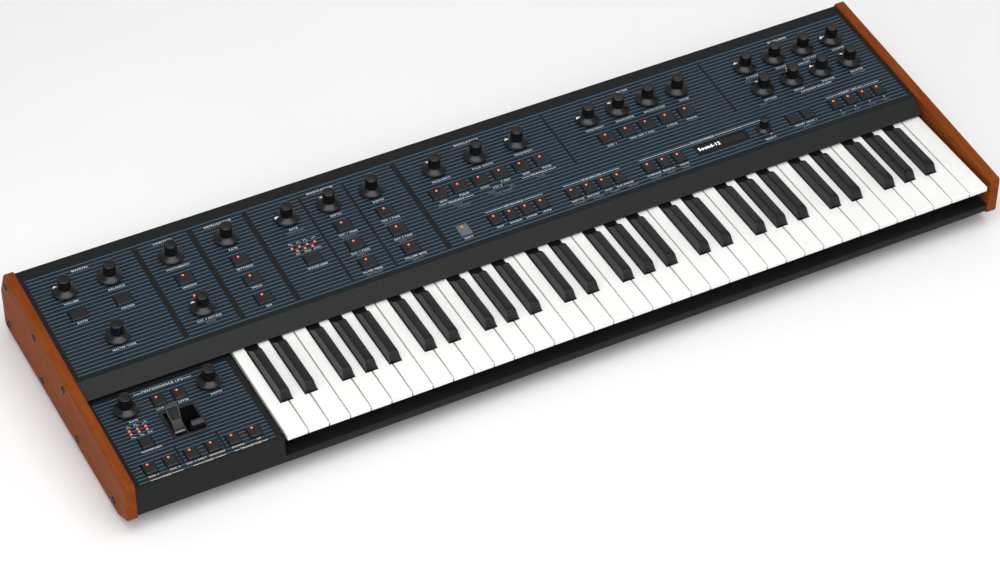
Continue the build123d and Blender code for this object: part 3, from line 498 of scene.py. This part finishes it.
# %% All the knobs, where their joints are
pointer_angles = {
    "volume": -48, "balance": 20, "master_tune": 20, "portamento": 25, "detune": -41, "arpeggio_rate": 35,
    "lfo_rate": -77, "frequency_depth": -22, "width_depth": 25, "oscillator_1": -16, "pulse_width": 20,
    "oscillator_2": -56, "filter_frequency": -72, "resonance": -29, "filter_modulation": 25, "noise": 30,
    "filter_attack": -51, "filter_decay": 20, "filter_sustain": 35, "filter_release": -72,
    "loudness_attack": -11, "loudness_decay": 6, "loudness_sustain": -50, "loudness_release": -23,
    "performance_rate": 20, "performance_depth": 30,
}


def joint_place(body, where):
    """A body's joint as x and y on a panel."""
    offset = (np.array(joints[body]["pos_m"]) - where[0]) / mm
    return offset @ across, offset @ where[1]


for knob, angle in pointer_angles.items():
    body = "knob_" + knob
    where = low_panel if knob.startswith("performance") else panel
    x, y = joint_place(body, where)
    piece(body + "_cap", [knob_shell(x, y, where)], knob_abs, body, [body], 28.0)
    piece(body + "_pointer", [pointer_shell(x, y, where, angle)], pointer_paint, body)

select_x, select_y = joint_place("knob_select", panel)
select_profile = [
    (0.02, -8.5), (3.0, -8.5), (3.0, 3.0), (4.8, 3.0), (4.8, 0.6), (8.8, 0.6), (8.97, 0.8), (8.97, 1.3),
    (8.7, 1.65), (7.5, 2.2), (6.3, 2.75), (5.5, 3.3), (5.2, 3.7), (5.1, 4.6), (5.0, 7.0), (5.0, 10.0),
    (5.0, 12.6), (5.1, 13.2), (5.2, 13.6), (5.2, 14.2), (5.0, 14.7), (4.6, 14.98), (4.2, 14.98),
    (3.9, 14.85), (0.02, 14.8),
]


def small_flutes(angle, height):
    """The encoder's finer grooves: 0.35 mm deep between 4.2 and 13 mm up."""
    fade = np.clip((height - 3.8) / 0.6, 0, 1) * np.clip((13.3 - height) / 0.6, 0, 1)
    return 0.35 * fade * (0.5 - 0.5 * np.cos(flute_count * angle)) ** 1.5


select_shell = turned_shell(select_profile, flute_count * 8, select_x, select_y, panel, small_flutes)
piece("knob_select_cap", [select_shell], knob_abs, "knob_select", ["knob_select"], 28.0)
print(len(pointer_angles) + 1, "knobs")

# %% [markdown]
# ## Buttons and lamps
# A cap is a low moulding with rounded corners: the same ring of points drawn in a little at
# each level, first up the wall, then over the bevel to the flat top. Most caps hold a lamp
# near the back edge, which is a small dome that stands just proud of the top.

# %% Shapes of a cap and a lamp
cap_depth = 16.2
cap_shift = 0.8
cap_levels = [(0.5, -3.0), (0.0, -2.9), (0.0, 0.9), (0.1, 1.15), (1.0, 2.0), (1.2, 2.14), (1.6, 2.2)]


def cap_shell(x, y, width, where):
    """A button's cap: rounded rectangles that shrink with height, a little right of its lamp."""
    rings = []
    for inset, height in cap_levels:
        ring = rounded_rectangle(width / 2 - inset, cap_depth / 2 - inset, max(1.0 - inset * 0.5, 0.3))
        columns = [x + cap_shift + ring[:, 0], y + ring[:, 1], np.full(len(ring), height)]
        rings.append(np.column_stack(columns))
    return closed_loft(placed(rings, where))


lamp_radius = 1.25
lamp_offset = 4.0


def lamp_shell(x, y, base, where):
    """A lamp's dome: a low quarter ellipse, turned."""
    t = np.linspace(0, np.pi / 2, 7)
    dome = [(max(lamp_radius * math.cos(a), 0.02), base + 0.45 * math.sin(a)) for a in t]
    return turned_shell([(lamp_radius, base - 0.8)] + dome, 20, x, y, where)


# %% Where the buttons are
control_column, arpeggio_column, wave_column, depth_column = 158.3, 222.0, 292.7, 343.0
oscillator_column, filter_button_column = 457.6, 667.2
value_column, recall_column = 871.2, 927.8
button_rows = (rear_buttons, middle_buttons, front_buttons)
dark_wide = [(manual_column, rear_buttons), (manual_column + 2 * button_pitch, rear_buttons),
             (wave_column, middle_buttons)]
lit_wide = [(control_column, rear_buttons)]
lit_wide += [(arpeggio_column, row) for row in button_rows]
lit_wide += [(depth_column + 2 * button_pitch * i, row) for i in range(2) for row in button_rows]
lit_wide += [(oscillator_column + button_pitch * i, rear_buttons) for i in range(6)]
lit_wide += [(filter_button_column + button_pitch * i, rear_buttons) for i in range(5)]
shift_place = (oscillator_column, front_buttons)
small_steps = (2, 3, 4, 5, 7, 8, 9, 10, 12, 13, 14)
lit_small = [(oscillator_column + small_pitch * i, front_buttons) for i in small_steps]
lit_small += [(recall_column + small_pitch * i, front_buttons) for i in range(4)]
dark_small = [(value_column + small_pitch * i, front_buttons) for i in range(2)]
low_pitch = 22.86
lit_low = [(69.4 + low_pitch * i, 107.3) for i in range(2)] + [(23.8 + low_pitch * i, 21.9) for i in range(6)]
dark_low = [(35.2, 57.1)]

# %% Make the buttons and their lamps
wide_cap, small_cap, cap_top = 18.6, 13.8, 2.2


def button_group(body, width, lit, dark, where):
    """The caps of one group and the lamps in its lit ones."""
    caps = [cap_shell(x, y, width, where) for x, y in lit + dark]
    piece(body + "_caps", caps, button_abs, body, [body], 50.0)
    lamps = [lamp_shell(x, y + lamp_offset, cap_top, where) for x, y in lit]
    piece(body + "_lamps", lamps, lamp_glow, body)


button_group("buttons_wide", wide_cap, lit_wide, dark_wide, panel)
button_group("buttons_small", small_cap, lit_small, dark_small, panel)
button_group("buttons_performance", small_cap, lit_low, dark_low, low_panel)
piece("shift_cap", [cap_shell(*shift_place, small_cap, panel)], grey_abs, "buttons_small",
      smooth_below=50.0)
piece("shift_lamp", [lamp_shell(shift_place[0], shift_place[1] + lamp_offset, cap_top, panel)],
      lamp_glow, "buttons_small")

# %% Lamps that stand in the panels themselves
wave_pitch = 8.9
main_waves = [(279.4 + wave_pitch * i, 80.9) for i in range(4)]
main_waves += [(283.7 + wave_pitch * i, 76.0) for i in range(3)]
low_waves = [(26.6 + wave_pitch * i, row) for i in range(3) for row in (79.7, 74.9)]
unison_lamp = (control_column, middle_buttons + lamp_offset)
panel_lamps = [lamp_shell(x, y, 0.0, panel) for x, y in main_waves + [unison_lamp]]
piece("panel_lamps", panel_lamps, lamp_glow, "root")
piece("performance_lamps", [lamp_shell(x, y, 0.0, low_panel) for x, y in low_waves],
      lamp_glow, "root")
print(len(lit_wide + lit_small + lit_low) + 1, "button lamps")

# %% [markdown]
# ## White keys
# A white key is a moulded plate with a lip at the front. Seen from above it is a wide head and
# a narrower tail that passes between the black keys. The outline is drawn once for each note
# and raised to a solid, and a Bevel modifier with a weight on each edge rounds the front edge
# generously and the others only slightly, as the mould does.

# %% Sizes of the keyboard
key_pitch = 165.0 / 7
keys_left = case_left + 163.0 + 1.8
octave_count = 5
key_gap = 0.55
head_end = 47.35
tail_end = 150.0
key_lip = 5.9
key_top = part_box("keys_c")[1].z / mm
half_slot = 13.5 / 2 + 0.8
black_places = {
    "c_sharp": key_pitch - 1.85, "d_sharp": 2 * key_pitch + 2.5, "f_sharp": 4 * key_pitch - 2.3,
    "g_sharp": 5 * key_pitch + 0.5, "a_sharp": 6 * key_pitch + 4.3,
}
white_notes = ["c", "d", "e", "f", "g", "a", "b"]
no_turn = (np.zeros(3), np.array([0.0, 1.0, 0.0]), np.array([0.0, 0.0, 1.0]))


def tail_sides(note):
    """The tail's left and right, where the black keys beside this note leave it."""
    left = white_notes.index(note) * key_pitch
    right = left + key_pitch
    tail_left, tail_right = left + key_gap, right - key_gap
    for middle in black_places.values():
        if left < middle + half_slot < right - 4:
            tail_left = max(tail_left, middle + half_slot)
        if left + 4 < middle - half_slot < right:
            tail_right = min(tail_right, middle - half_slot)
    return left + key_gap, right - key_gap, tail_left, tail_right


def key_outline(head_left, head_right, tail_left, tail_right):
    """The key from above, anticlockwise from its front left corner, with a step only where it has one."""
    outline = [(head_left, 0.0), (head_right, 0.0)]
    if tail_right < head_right - 0.1:
        outline += [(head_right, head_end), (tail_right, head_end)]
    outline += [(tail_right, tail_end), (tail_left, tail_end)]
    if tail_left > head_left + 0.1:
        outline += [(tail_left, head_end), (head_left, head_end)]
    return np.array(outline)


def raised(outline, x, low, high):
    """An outline raised to a solid between two heights, its front edge at the front of the keys."""
    columns = [x + outline[:, 0], front + outline[:, 1]]
    rings = [np.column_stack(columns + [np.full(len(outline), height)]) for height in (low, high)]
    return closed_loft(placed(rings, no_turn))


def arm_shell(middle, width):
    """The arm under the panel that carries a key to its pivot: a side outline carried across."""
    top = key_top - 4.5
    outline = np.array([(140.0, top), (223.0, top), (223.0, top - 13.0), (152.0, top - 13.0),
                        (140.0, key_top - key_lip)])
    rings = []
    for x in (middle - width / 2, middle + width / 2):
        rings.append(np.column_stack([np.full(5, x), front + outline[:, 0], outline[:, 1]]))
    return closed_loft(placed(rings, no_turn))


# %% Round the edges of a key
def weigh_edges(made, rounding, front_rounding):
    """Bevel weights: the front top edge in full, other top edges and the front corners in part."""
    mesh = made.data
    points = np.zeros(len(mesh.vertices) * 3)
    mesh.vertices.foreach_get("co", points)
    points = points.reshape(-1, 3) / mm
    ends = np.zeros(len(mesh.edges) * 2, int)
    mesh.edges.foreach_get("vertices", ends)
    a, b = points[ends[0::2]], points[ends[1::2]]
    at_top = (np.abs(a[:, 2] - key_top) < 0.01) & (np.abs(b[:, 2] - key_top) < 0.01)
    at_front = (np.abs(a[:, 1] - front) < 0.01) & (np.abs(b[:, 1] - front) < 0.01)
    weight = np.where(at_top | at_front, rounding / front_rounding, 0.0)
    weight = np.where(at_top & at_front, 1.0, weight)
    mesh.attributes.new("bevel_weight_edge", "FLOAT", "EDGE").data.foreach_set("value", weight)
    bevel = made.modifiers.new("rounded edges", "BEVEL")
    bevel.limit_method = "WEIGHT"
    bevel.width = front_rounding * mm
    bevel.segments = 4
    bevel.harden_normals = True


for note in white_notes:
    sides = tail_sides(note)
    shells = []
    for octave in range(octave_count):
        x = keys_left + 165.0 * octave
        shells.append(raised(key_outline(*sides), x, key_top - key_lip, key_top))
        shells.append(arm_shell(x + (sides[2] + sides[3]) / 2, 10.0))
    if note == "c":
        x = keys_left + 165.0 * octave_count
        last_key = key_outline(sides[0], sides[1], sides[0], sides[1])
        shells.append(raised(last_key, x, key_top - key_lip, key_top))
        shells.append(arm_shell(x + (sides[2] + sides[3]) / 2, 10.0))
    body = "keys_" + note
    made = piece("white_" + body, shells, white_abs, body, [body], 30.0)
    weigh_edges(made, 0.5, 1.7)
print(octave_count * 7 + 1, "white keys")

# %% [markdown]
# ## Black keys
# A black key leans back at the front, narrows towards the top, and its top falls away before
# it passes under the panel's lip. Each ring of the loft is a section with rounded shoulders
# whose height and width follow formulas of the distance from the front.

# %% One black key
black_start, black_tall, black_rake = 48.15, 12.0, 3.1
black_half_base, black_half_top = 6.75, 4.7
facet_depth, facet_drop = 2.6, 0.9
fall_start, fall_end = 118.0, 135.5


def black_section(height, shrink):
    """A section from the right foot over the rounded top to the left foot, as (x, z) above the whites.

    shrink draws the whole section in, for the rounded end."""
    shoulder = min(1.2, height * 0.45)
    half_top = black_half_base + (black_half_top - black_half_base) * height / black_tall
    arc = np.linspace(0, np.pi / 2, 6)
    shoulder_x = half_top - shoulder + shoulder * np.cos(arc) - shrink
    shoulder_z = height - shoulder + shoulder * np.sin(arc) - shrink
    side_x = black_half_base - shrink
    side = [(side_x, -5.0), (side_x, min(0.0, height - shoulder - shrink))]
    right = np.concatenate([side, np.column_stack([shoulder_x, shoulder_z])])
    return np.concatenate([right, right[::-1] * (-1, 1)])


def black_key_shell(middle):
    """A loft from the raked front over its facet to the end under the panel."""
    rings = []
    front_height = black_tall - facet_drop
    for inset, forward in ((0.8, 0.0), (0.5, 0.04), (0.2, 0.2), (0.05, 0.45), (0.0, 0.7)):
        section = black_section(front_height, inset)
        lean = black_rake * np.clip(section[:, 1], 0, None) / front_height
        rings.append((section, black_start + forward + lean))
    for y in np.concatenate([[black_start + black_rake + facet_depth + 0.2], np.linspace(60, 110, 4),
                             np.linspace(fall_start, fall_end, 12), [149.5]]):
        t = np.clip((y - fall_start) / (fall_end - fall_start), 0, 1)
        height = black_tall - 1.0 * np.clip((y - 56.0) / (fall_start - 56.0), 0, 1)
        height = height - (height - 0.8) * t * t * (3 - 2 * t)
        section = black_section(height, 0.0)
        rings.append((section, np.full(len(section), y)))
    points = [np.column_stack([middle + s[:, 0], front + y, key_top + s[:, 1]]) for s, y in rings]
    return closed_loft(placed(points, no_turn))


for note, middle in black_places.items():
    shells = []
    for octave in range(octave_count):
        x = keys_left + 165.0 * octave + middle
        shells += [black_key_shell(x), arm_shell(x, 9.0)]
    body = "keys_" + note
    piece("black_" + body, shells, black_abs, body, [body], 40.0)
print(octave_count * 5, "black keys")

# %% [markdown]
# ## Levers
# The left lever bends the pitch and springs back; the right one stays where it is pushed. Both
# are side outlines carried across their slot. The first has a concave front with ribs for the
# finger, so its outline is a curve with a ripple on its upper part.

# %% The pitch lever
pivot_y, pivot_drop = 64.8, 16.0


def carried_across(outline, left, right, where, round_off=0.5, flare=0.0, relief=0.0):
    """A (y, z) outline carried from left to right, drawn in towards its middle at both sides.

    flare is how far each side moves out above 9 mm, in a smooth step 6 mm high. relief is
    added to the outline between two plain borders."""
    outline = np.asarray(outline, float)
    middle = outline.mean(axis=0)
    reach = np.linalg.norm(outline - middle, axis=1, keepdims=True)
    rings = []
    half = [(round_off, 0.0, 0.0), (round_off * 0.3, round_off * 0.3, 0.0), (0.0, round_off, 0.0),
            (0.0, round_off + 1.0, 0.0), (0.0, round_off + 1.3, 1.0)]
    places = [(inset, left + x, share) for inset, x, share in half]
    places += [(inset, right - x, share) for inset, x, share in half[::-1]]
    for inset, x, share in places:
        ring = middle + (outline - middle) * (1 - inset / reach) + share * relief
        step = np.clip((ring[:, 1] - 9.2) / 6.0, 0, 1)
        outward = flare * step * step * (3 - 2 * step) * (1 if x > (left + right) / 2 else -1)
        rings.append(np.column_stack([x + outward, ring]))
    return closed_loft(placed(rings, where))


t = np.linspace(0, 1, 70)
front_curve = np.column_stack([56.3 + 19.5 * t ** 1.25, 1.9 + 17.2 * t])
pad = ((t > 0.5) & (t < 0.93)).astype(float)
groove = -0.9 * pad * (0.5 + 0.5 * np.cos(2 * np.pi * (t - 0.5) / 0.086)) ** 0.7
pitch_outline = np.concatenate([
    front_curve,
    [(76.8, 20.6), (78.0, 21.2), (78.6, 20.6), (78.2, 18.6), (75.6, 9.0), (74.2, 1.0), (74.2, -14.0)],
    [(70.0, -22.0), (59.0, -22.0), (54.3, -14.0), (54.3, 0.9)],
])
ribs = np.zeros_like(pitch_outline)
ribs[:len(t)] = groove[:, None] * (-0.62, 0.78)
piece("pitch_lever_grip", [carried_across(pitch_outline, 66.6, 77.8, low_panel, 0.5, 1.2, ribs)],
      lever_abs, "pitch_lever",
      ["pitch_lever"], 30.0)
# A pale bar along the foot of the pitch lever, in place of the highlight on its front edge: a painted
# highlight.
foot_highlight_outline = [(54.3, 0.6), (54.0, 1.2), (54.4, 1.75), (55.6, 2.0), (56.0, 1.4), (55.4, 0.4)]
piece("pitch_lever_foot_highlight", [carried_across(foot_highlight_outline, 66.8, 77.6, low_panel, 0.15)], foot_highlight_plastic,
      "pitch_lever")

# %% The modulation lever
arc = np.radians(np.linspace(-200, 20, 14))
hub = np.column_stack([pivot_y + 5.5 * np.cos(arc), -pivot_drop + 5.5 * np.sin(arc)])
mod_outline = np.concatenate([
    hub, [(58.6, 2.6), (57.6, 6.2), (56.4, 9.6), (55.7, 10.2), (54.8, 10.1), (51.0, 8.2), (50.3, 7.4),
          (50.4, 6.4), (51.6, 1.0), (52.4, -2.4)],
])
piece("modulation_lever_bar", [carried_across(mod_outline, 84.2, 98.2, low_panel)], lever_abs,
      "modulation_lever", ["modulation_lever"], 30.0)

# %% [markdown]
# ## Printing
# The legends are plain function words in off-white ink, with a second line in grey-brown under
# some. Ink is a real, very thin layer, so each word is a text object raised by a few
# hundredths of a millimetre, made a mesh, and then laid on its panel. Thin rules and the small
# wave signs are paths with a width.

# %% Words and lines as thin shells
ink = {"label": [], "dim": []}
ink_rise = 0.05
print_shift = 0.9


def word(text, x, y, where, height=2.35, kind="label", stretch=1.12, spacing=1.16):
    """A word centred at x and y, with capitals of this height, widened and spaced a little.

    Returns half of the word's width."""
    curve = bpy.data.curves.new(text, "FONT")
    curve.body = text
    curve.size = height / 0.69
    curve.align_x = "CENTER"
    curve.align_y = "CENTER"
    curve.resolution_u = 2
    curve.space_character = spacing
    curve.offset = 0.012 * height
    curve.extrude = ink_rise / 2
    temporary = bpy.data.objects.new(text, curve)
    bpy.context.scene.collection.objects.link(temporary)
    bpy.context.view_layer.update()
    mesh = bpy.data.meshes.new_from_object(temporary.evaluated_get(bpy.context.evaluated_depsgraph_get()))
    points = np.zeros(len(mesh.vertices) * 3)
    mesh.vertices.foreach_get("co", points)
    points = points.reshape(-1, 3) * (stretch, 1, 1)
    faces = [tuple(face.vertices) for face in mesh.polygons]
    ink[kind].append((placed(points + (x + print_shift, y, ink_rise / 2), where), faces))
    bpy.data.objects.remove(temporary)
    bpy.data.curves.remove(curve)
    bpy.data.meshes.remove(mesh)
    return np.ptp(points[:, 0]) / 2


def line(path, width, where, kind="label"):
    """A path of (x, y) points drawn as a strip: each point moved sideways by half the width."""
    path = np.asarray(path, float) + (print_shift, 0.0)
    along = np.gradient(path, axis=0)
    along = along / np.linalg.norm(along, axis=1, keepdims=True)
    side = np.column_stack([-along[:, 1], along[:, 0]]) * width / 2
    rings = []
    for low_side, high_side in zip(path - side, path + side):
        rings.append([(*low_side, 0.0), (*high_side, 0.0), (*high_side, ink_rise), (*low_side, ink_rise)])
    ink[kind].append(closed_loft(placed(rings, where)))


def heading(text, x, y, where, left, right, height=2.35):
    """A word with a thin rule on each side of it, out to left and right."""
    gap = word(text, x, y, where, height, stretch=1.2) + 1.0
    for end, start in ((left, x - gap), (right, x + gap)):
        line([(end, y), (start, y)], 0.55, where)


# %% [markdown]
# The words stand in rows: one row of headings, and a row of labels a fixed distance in front
# of each row of knobs and of buttons. So a label needs only its text, its column and its row.

# %% Legends of the control panel
heading_row, knob_labels, rear_labels = 149.3, 107.5, 76.9
middle_labels, front_labels, small_labels = 46.0, 15.5, 15.7
envelope_labels = envelope_row - 16.2
second_line = 5.0
two_buttons = 2 * button_pitch
osc, filt, env = oscillator_column, filter_button_column, 865.8


def spaced(texts, first, pitch):
    """Labels, parted by commas, at even steps along a row."""
    return [(text, first + pitch * i) for i, text in enumerate(texts.split(","))]


for text, x in (("MANUAL", 63.8), ("CONTROL", 158.3), ("ARPEGGIATOR", 222.0), ("MODULATION", 343.0),
                ("OSCILLATORS", 521.1), ("FILTER", 719.1), ("ENVELOPES", 923.1)):
    word(text, x, heading_row, panel, 2.6)
envelope_words = spaced("ATTACK,DECAY,SUSTAIN,RELEASE", env, knob_pitch)
labels = {
    knob_labels: spaced("VOLUME,BALANCE", manual_column, two_buttons)
    + [("PORTAMENTO", control_column), ("RATE", arpeggio_column), ("RATE", wave_column)]
    + spaced("DEPTH,DEPTH", depth_column, two_buttons)
    + spaced("FREQUENCY,PULSE WIDTH,FREQUENCY", osc + 0.5 * button_pitch, two_buttons)
    + spaced("FREQUENCY,RESONANCE,MODULATION,NOISE", 661.8, knob_pitch) + envelope_words,
    envelope_labels: envelope_words,
    tune_row - 15.5: [("MASTER TUNE", manual_column + button_pitch), ("OSC 2 DETUNE", control_column)],
    rear_labels: spaced("AUTO,CHORD", manual_column, two_buttons)
    + [("UNISON", control_column), ("SETTINGS", arpeggio_column)]
    + spaced("OSC 1 FREQ,OSC 1 PWM", depth_column, two_buttons)
    + spaced("SAW,PULSE,SYNC,F-ENV,SAW,PULSE", osc, button_pitch)
    + [("OSC 1", filt), ("HALF OSC 2 FULL", filt + 1.5 * button_pitch)]
    + spaced("4 POLE,TRACK", filt + 3 * button_pitch, button_pitch),
    middle_labels: [("HOLD", arpeggio_column), ("WAVEFORM", wave_column)]
    + spaced("OSC 2 FREQ,OSC 2 PWM", depth_column, two_buttons),
    front_labels: [("ON", arpeggio_column), ("SHIFT", osc)]
    + spaced("FILTER FREQ,VOLUME MOD", depth_column, two_buttons),
    small_labels: spaced("SPLIT,DOUBLE,LOWER,UPPER", osc + 2 * small_pitch, small_pitch)
    + spaced("REST/TIE,RECORD,STOP", osc + 7 * small_pitch, small_pitch)
    + [("PLAY/PAUSE", osc + 10 * small_pitch + 1.5)]
    + spaced("COMPARE,MANUAL,WRITE", osc + 12 * small_pitch, small_pitch)
    + [("- PRESET VALUE +", value_column + small_pitch / 2)] + spaced("1,2,3,4", recall_column, small_pitch),
}
for row, entries in labels.items():
    for text, x in entries:
        word(text, x, row, panel, 2.1 if row == small_labels else 2.2 if len(text) > 8 else 2.35)
word("SELECT", 833.2, 10.8, panel)
# A small pale dot to the right of the select knob, made in the same ink as the legends.
ink["label"].append(turned_shell([(0.9, 0.0), (0.9, ink_rise), (0.02, ink_rise)], 20, 837.9, 17.0, panel))
word("FILTER ENVELOPE", 923.1, knob_labels - second_line, panel, 2.2)
word("LOUDNESS ENVELOPE", 923.1, envelope_labels - second_line, panel, 2.2)

# %% Second lines, rules and headings of the control panel
second_labels = {
    knob_labels: [("TEMPO SYNC", wave_column), ("LEVEL", env - 8.0)],
    tune_row - 15.5: [("RANGE", control_column)],
    rear_labels: spaced("QUANTIZE 1,QUANTIZE 2", depth_column, two_buttons),
    middle_labels: spaced("INVERT 1,INVERT 2", depth_column, two_buttons),
    front_labels: spaced("LFO TRACK,VIBRATO", depth_column, two_buttons),
    71.5: spaced("PHASE,PHASE", osc + 0.5 * button_pitch, 4 * button_pitch)
    + spaced("TUNE,MIX", osc + 2.1 * button_pitch, button_pitch),
    66.7: spaced("SUB LEVEL,LEVEL INVERT", osc + 0.7 * button_pitch, 1.9 * button_pitch),
    envelope_labels: [("DELAY", env - 12.0), ("HOLD TIME", env + 3 * knob_pitch)],
    small_labels: [("SETTINGS", osc + 7 * small_pitch), ("APPEND", osc + 8.2 * small_pitch)]
    + [("CLEAR", osc + 9.3 * small_pitch), ("RESTART", osc + 10.5 * small_pitch)]
    + spaced("SEARCH,PANIC,NAME", osc + 12 * small_pitch, small_pitch)
    + [("- BANK +", value_column + small_pitch / 2)]
    + spaced("ARP,PLAY,VOICE,MISC", recall_column, small_pitch),
}
for row, entries in second_labels.items():
    for text, x in entries:
        word(text, x, row - second_line, panel, 1.9, "dim", 1.1)
for first in (osc, osc + 4 * button_pitch):
    heading("TRIANGLE", first + 0.5 * button_pitch, 71.9, panel, first - 8.0, first + button_pitch + 9.0, 2.2)
word("OSC 2", osc + 2.5 * button_pitch, 71.9, panel, 2.2)
heading("KEYBOARD", 524.9, 41.1, panel, 490.2, 560.4)
heading("SEQUENCER", 620.9, 41.1, panel, 586.0, 656.0)
heading("PROGRAMMER", 761.7, 41.1, panel, 681.0, 837.3)
heading("PRESET RECALL", 956.4, 40.6, panel, 923.3, 992.9)

# %% Wave signs
def wave_path(kind, x, y, width=4.6, height=2.0):
    """One period of a wave as points: a sine, triangle, square, saw or ramp."""
    shapes = {
        "sine": [(s, 0.5 * math.sin(2 * math.pi * s)) for s in np.linspace(0, 1, 13)],
        "triangle": [(0.0, -0.5), (0.5, 0.5), (1.0, -0.5)],
        "square": [(0.0, -0.5), (0.02, 0.5), (0.5, 0.5), (0.52, -0.5), (1.0, -0.5)],
        "saw": [(0.0, -0.5), (0.98, 0.5), (1.0, -0.5)],
        "ramp": [(0.0, -0.5), (0.02, 0.5), (1.0, -0.5)],
    }
    return [(x + (s - 0.5) * width, y + h * height) for s, h in shapes[kind]]


for i, kind in enumerate(("sine", "triangle", "square", "saw")):
    line(wave_path(kind, 279.4 + wave_pitch * i, 87.0), 0.5, panel)
for text, x in (("S/H", 281.5), ("TRIG", 292.7), ("SYNC", 304.2)):
    word(text, x, 71.2, panel, 1.9)
for i, kind in enumerate(("triangle", "square", "saw")):
    line(wave_path(kind, 26.6 + wave_pitch * i, 85.2), 0.5, low_panel)
for i, kind in enumerate(("ramp", "sine")):
    line(wave_path(kind, 26.6 + wave_pitch * i, 69.6), 0.5, low_panel)
word("S/H", 44.6, 69.6, low_panel, 1.9)

# %% Legends of the performance panel
for text, x, y in (
    ("RATE", 35.4, 91.2), ("DEPTH", 127.0, 91.0), ("LOWER", 69.4, 95.8), ("UPPER", 92.3, 95.8),
    ("WAVEFORM", 36.0, 45.8), ("OSC 1", 23.8, 10.6), ("OSC 2", 46.7, 10.6), ("OSC 2 ONLY", 69.9, 10.6),
    ("AMOUNT", 92.8, 10.6), ("DOWN", 115.6, 10.6), ("UP", 138.4, 10.6),
):
    word(text, x, y, low_panel, 2.1 if len(text) > 8 else 2.25)
heading("PERFORMANCE LFO", 81.6, 125.9, low_panel, 49.3, 113.4, 2.6)
heading("MOD", 35.6, 5.3, low_panel, 18.2, 53.6, 2.2)
heading("MOD", 81.9, 5.3, low_panel, 63.8, 99.6, 2.2)
heading("TRANSPOSE", 127.3, 5.3, low_panel, 109.3, 145.8, 2.2)

piece("legends", ink["label"], label_ink, "root")
piece("second_legends", ink["dim"], dim_ink, "root")

# %% The display's characters
ink["label"] = []
word("Sound-12", 763.5, 28.6, panel, 4.6, stretch=1.0, spacing=1.1)
piece("display_characters", ink["label"], display_glow, "root")
print("legends", len(labels), "rows")

# %% [markdown]
# ## Floor, light and camera
# The instrument stands on a pale, plain floor under soft studio light: a bright surround, a
# wide softbox high in front that shapes the keys and knobs, and two weaker ones, at the left
# and behind, that give the cheek and the folded edges some light of their own.

# %% Stage
def stage_floor(size=12.0):
    """A large square of pale floor with a soft sheen."""
    material, tree, shader, place = new_material("pale floor")
    paper = mixed(tree, speckled(tree, place, 400.0, 0.0, 1.0), "#f8f8f8", "#fbfbfb")
    tree.links.new(paper, shader.inputs["Base Color"])
    shader.inputs["Roughness"].default_value = 0.5
    mesh = bpy.data.meshes.new("floor")
    half = size / 2
    corners = [(-half, -half, 0), (half, -half, 0), (half, half, 0), (-half, half, 0)]
    mesh.from_pydata(corners, [], [(0, 1, 2, 3)])
    mesh.materials.append(material)
    floor = bpy.data.objects.new("floor", mesh)
    bpy.context.scene.collection.objects.link(floor)


def softbox(name, place, aim, size, power):
    """A square area light that faces a point."""
    light = bpy.data.lights.new(name, "AREA")
    light.shape = "SQUARE"
    light.size = size
    light.energy = power
    lamp = bpy.data.objects.new(name, light)
    direction = np.array(aim, float) - np.array(place, float)
    yaw = math.atan2(direction[1], direction[0]) - math.pi / 2
    tilt = math.acos(-direction[2] / np.linalg.norm(direction))
    lamp.location = place
    lamp.rotation_euler = (tilt, 0.0, yaw)
    bpy.context.scene.collection.objects.link(lamp)


stage_floor()
softbox("overhead softbox", (-0.3, -1.2, 2.6), (0.0, 0.0, 0.0), 3.2, 84.0)
softbox("left softbox", (-2.5, -1.2, 1.0), (0.0, 0.0, 0.05), 1.5, 14.0)
softbox("rear softbox", (1.6, 2.4, 1.9), (0.0, 0.2, 0.0), 2.0, 6.0)
world = bpy.data.worlds.new("studio")
world.use_nodes = True
world.node_tree.nodes["Background"].inputs["Color"].default_value = (1.0, 1.0, 1.0, 1.0)
world.node_tree.nodes["Background"].inputs["Strength"].default_value = 0.36
bpy.context.scene.world = world
bpy.context.scene.view_settings.view_transform = "Standard"

# %% [markdown]
# The camera stands high at the front left with a long lens, which keeps the keyboard's far end
# almost as large as the near one. It is placed by its direction from a point on the object.

# %% Camera
camera_azimuth = math.radians(-27.752)
camera_elevation = math.radians(42.229)
camera_roll = math.radians(0.359)
camera_distance = 3.4185
camera_aim = np.array([-0.0210, -0.0177, 0.0163])
sensor_width, focal_length = 36.0, 113.25

backward = np.array([math.sin(camera_azimuth) * math.cos(camera_elevation),
                     -math.cos(camera_azimuth) * math.cos(camera_elevation), math.sin(camera_elevation)])
level = np.cross(-backward, (0.0, 0.0, 1.0))
level = level / np.linalg.norm(level)
upright = np.cross(level, -backward)
right = math.cos(camera_roll) * level + math.sin(camera_roll) * upright
up = math.cos(camera_roll) * upright - math.sin(camera_roll) * level
camera_data = bpy.data.cameras.new("camera")
camera_data.lens = focal_length
camera_data.sensor_width = sensor_width
camera_data.clip_end = 100.0
camera = bpy.data.objects.new("camera", camera_data)
turn = np.eye(4)
turn[:3, 0], turn[:3, 1], turn[:3, 2] = right, up, backward
turn[:3, 3] = camera_aim + camera_distance * backward
camera.matrix_world = Matrix(turn.tolist())
bpy.context.scene.collection.objects.link(camera)
bpy.context.scene.camera = camera
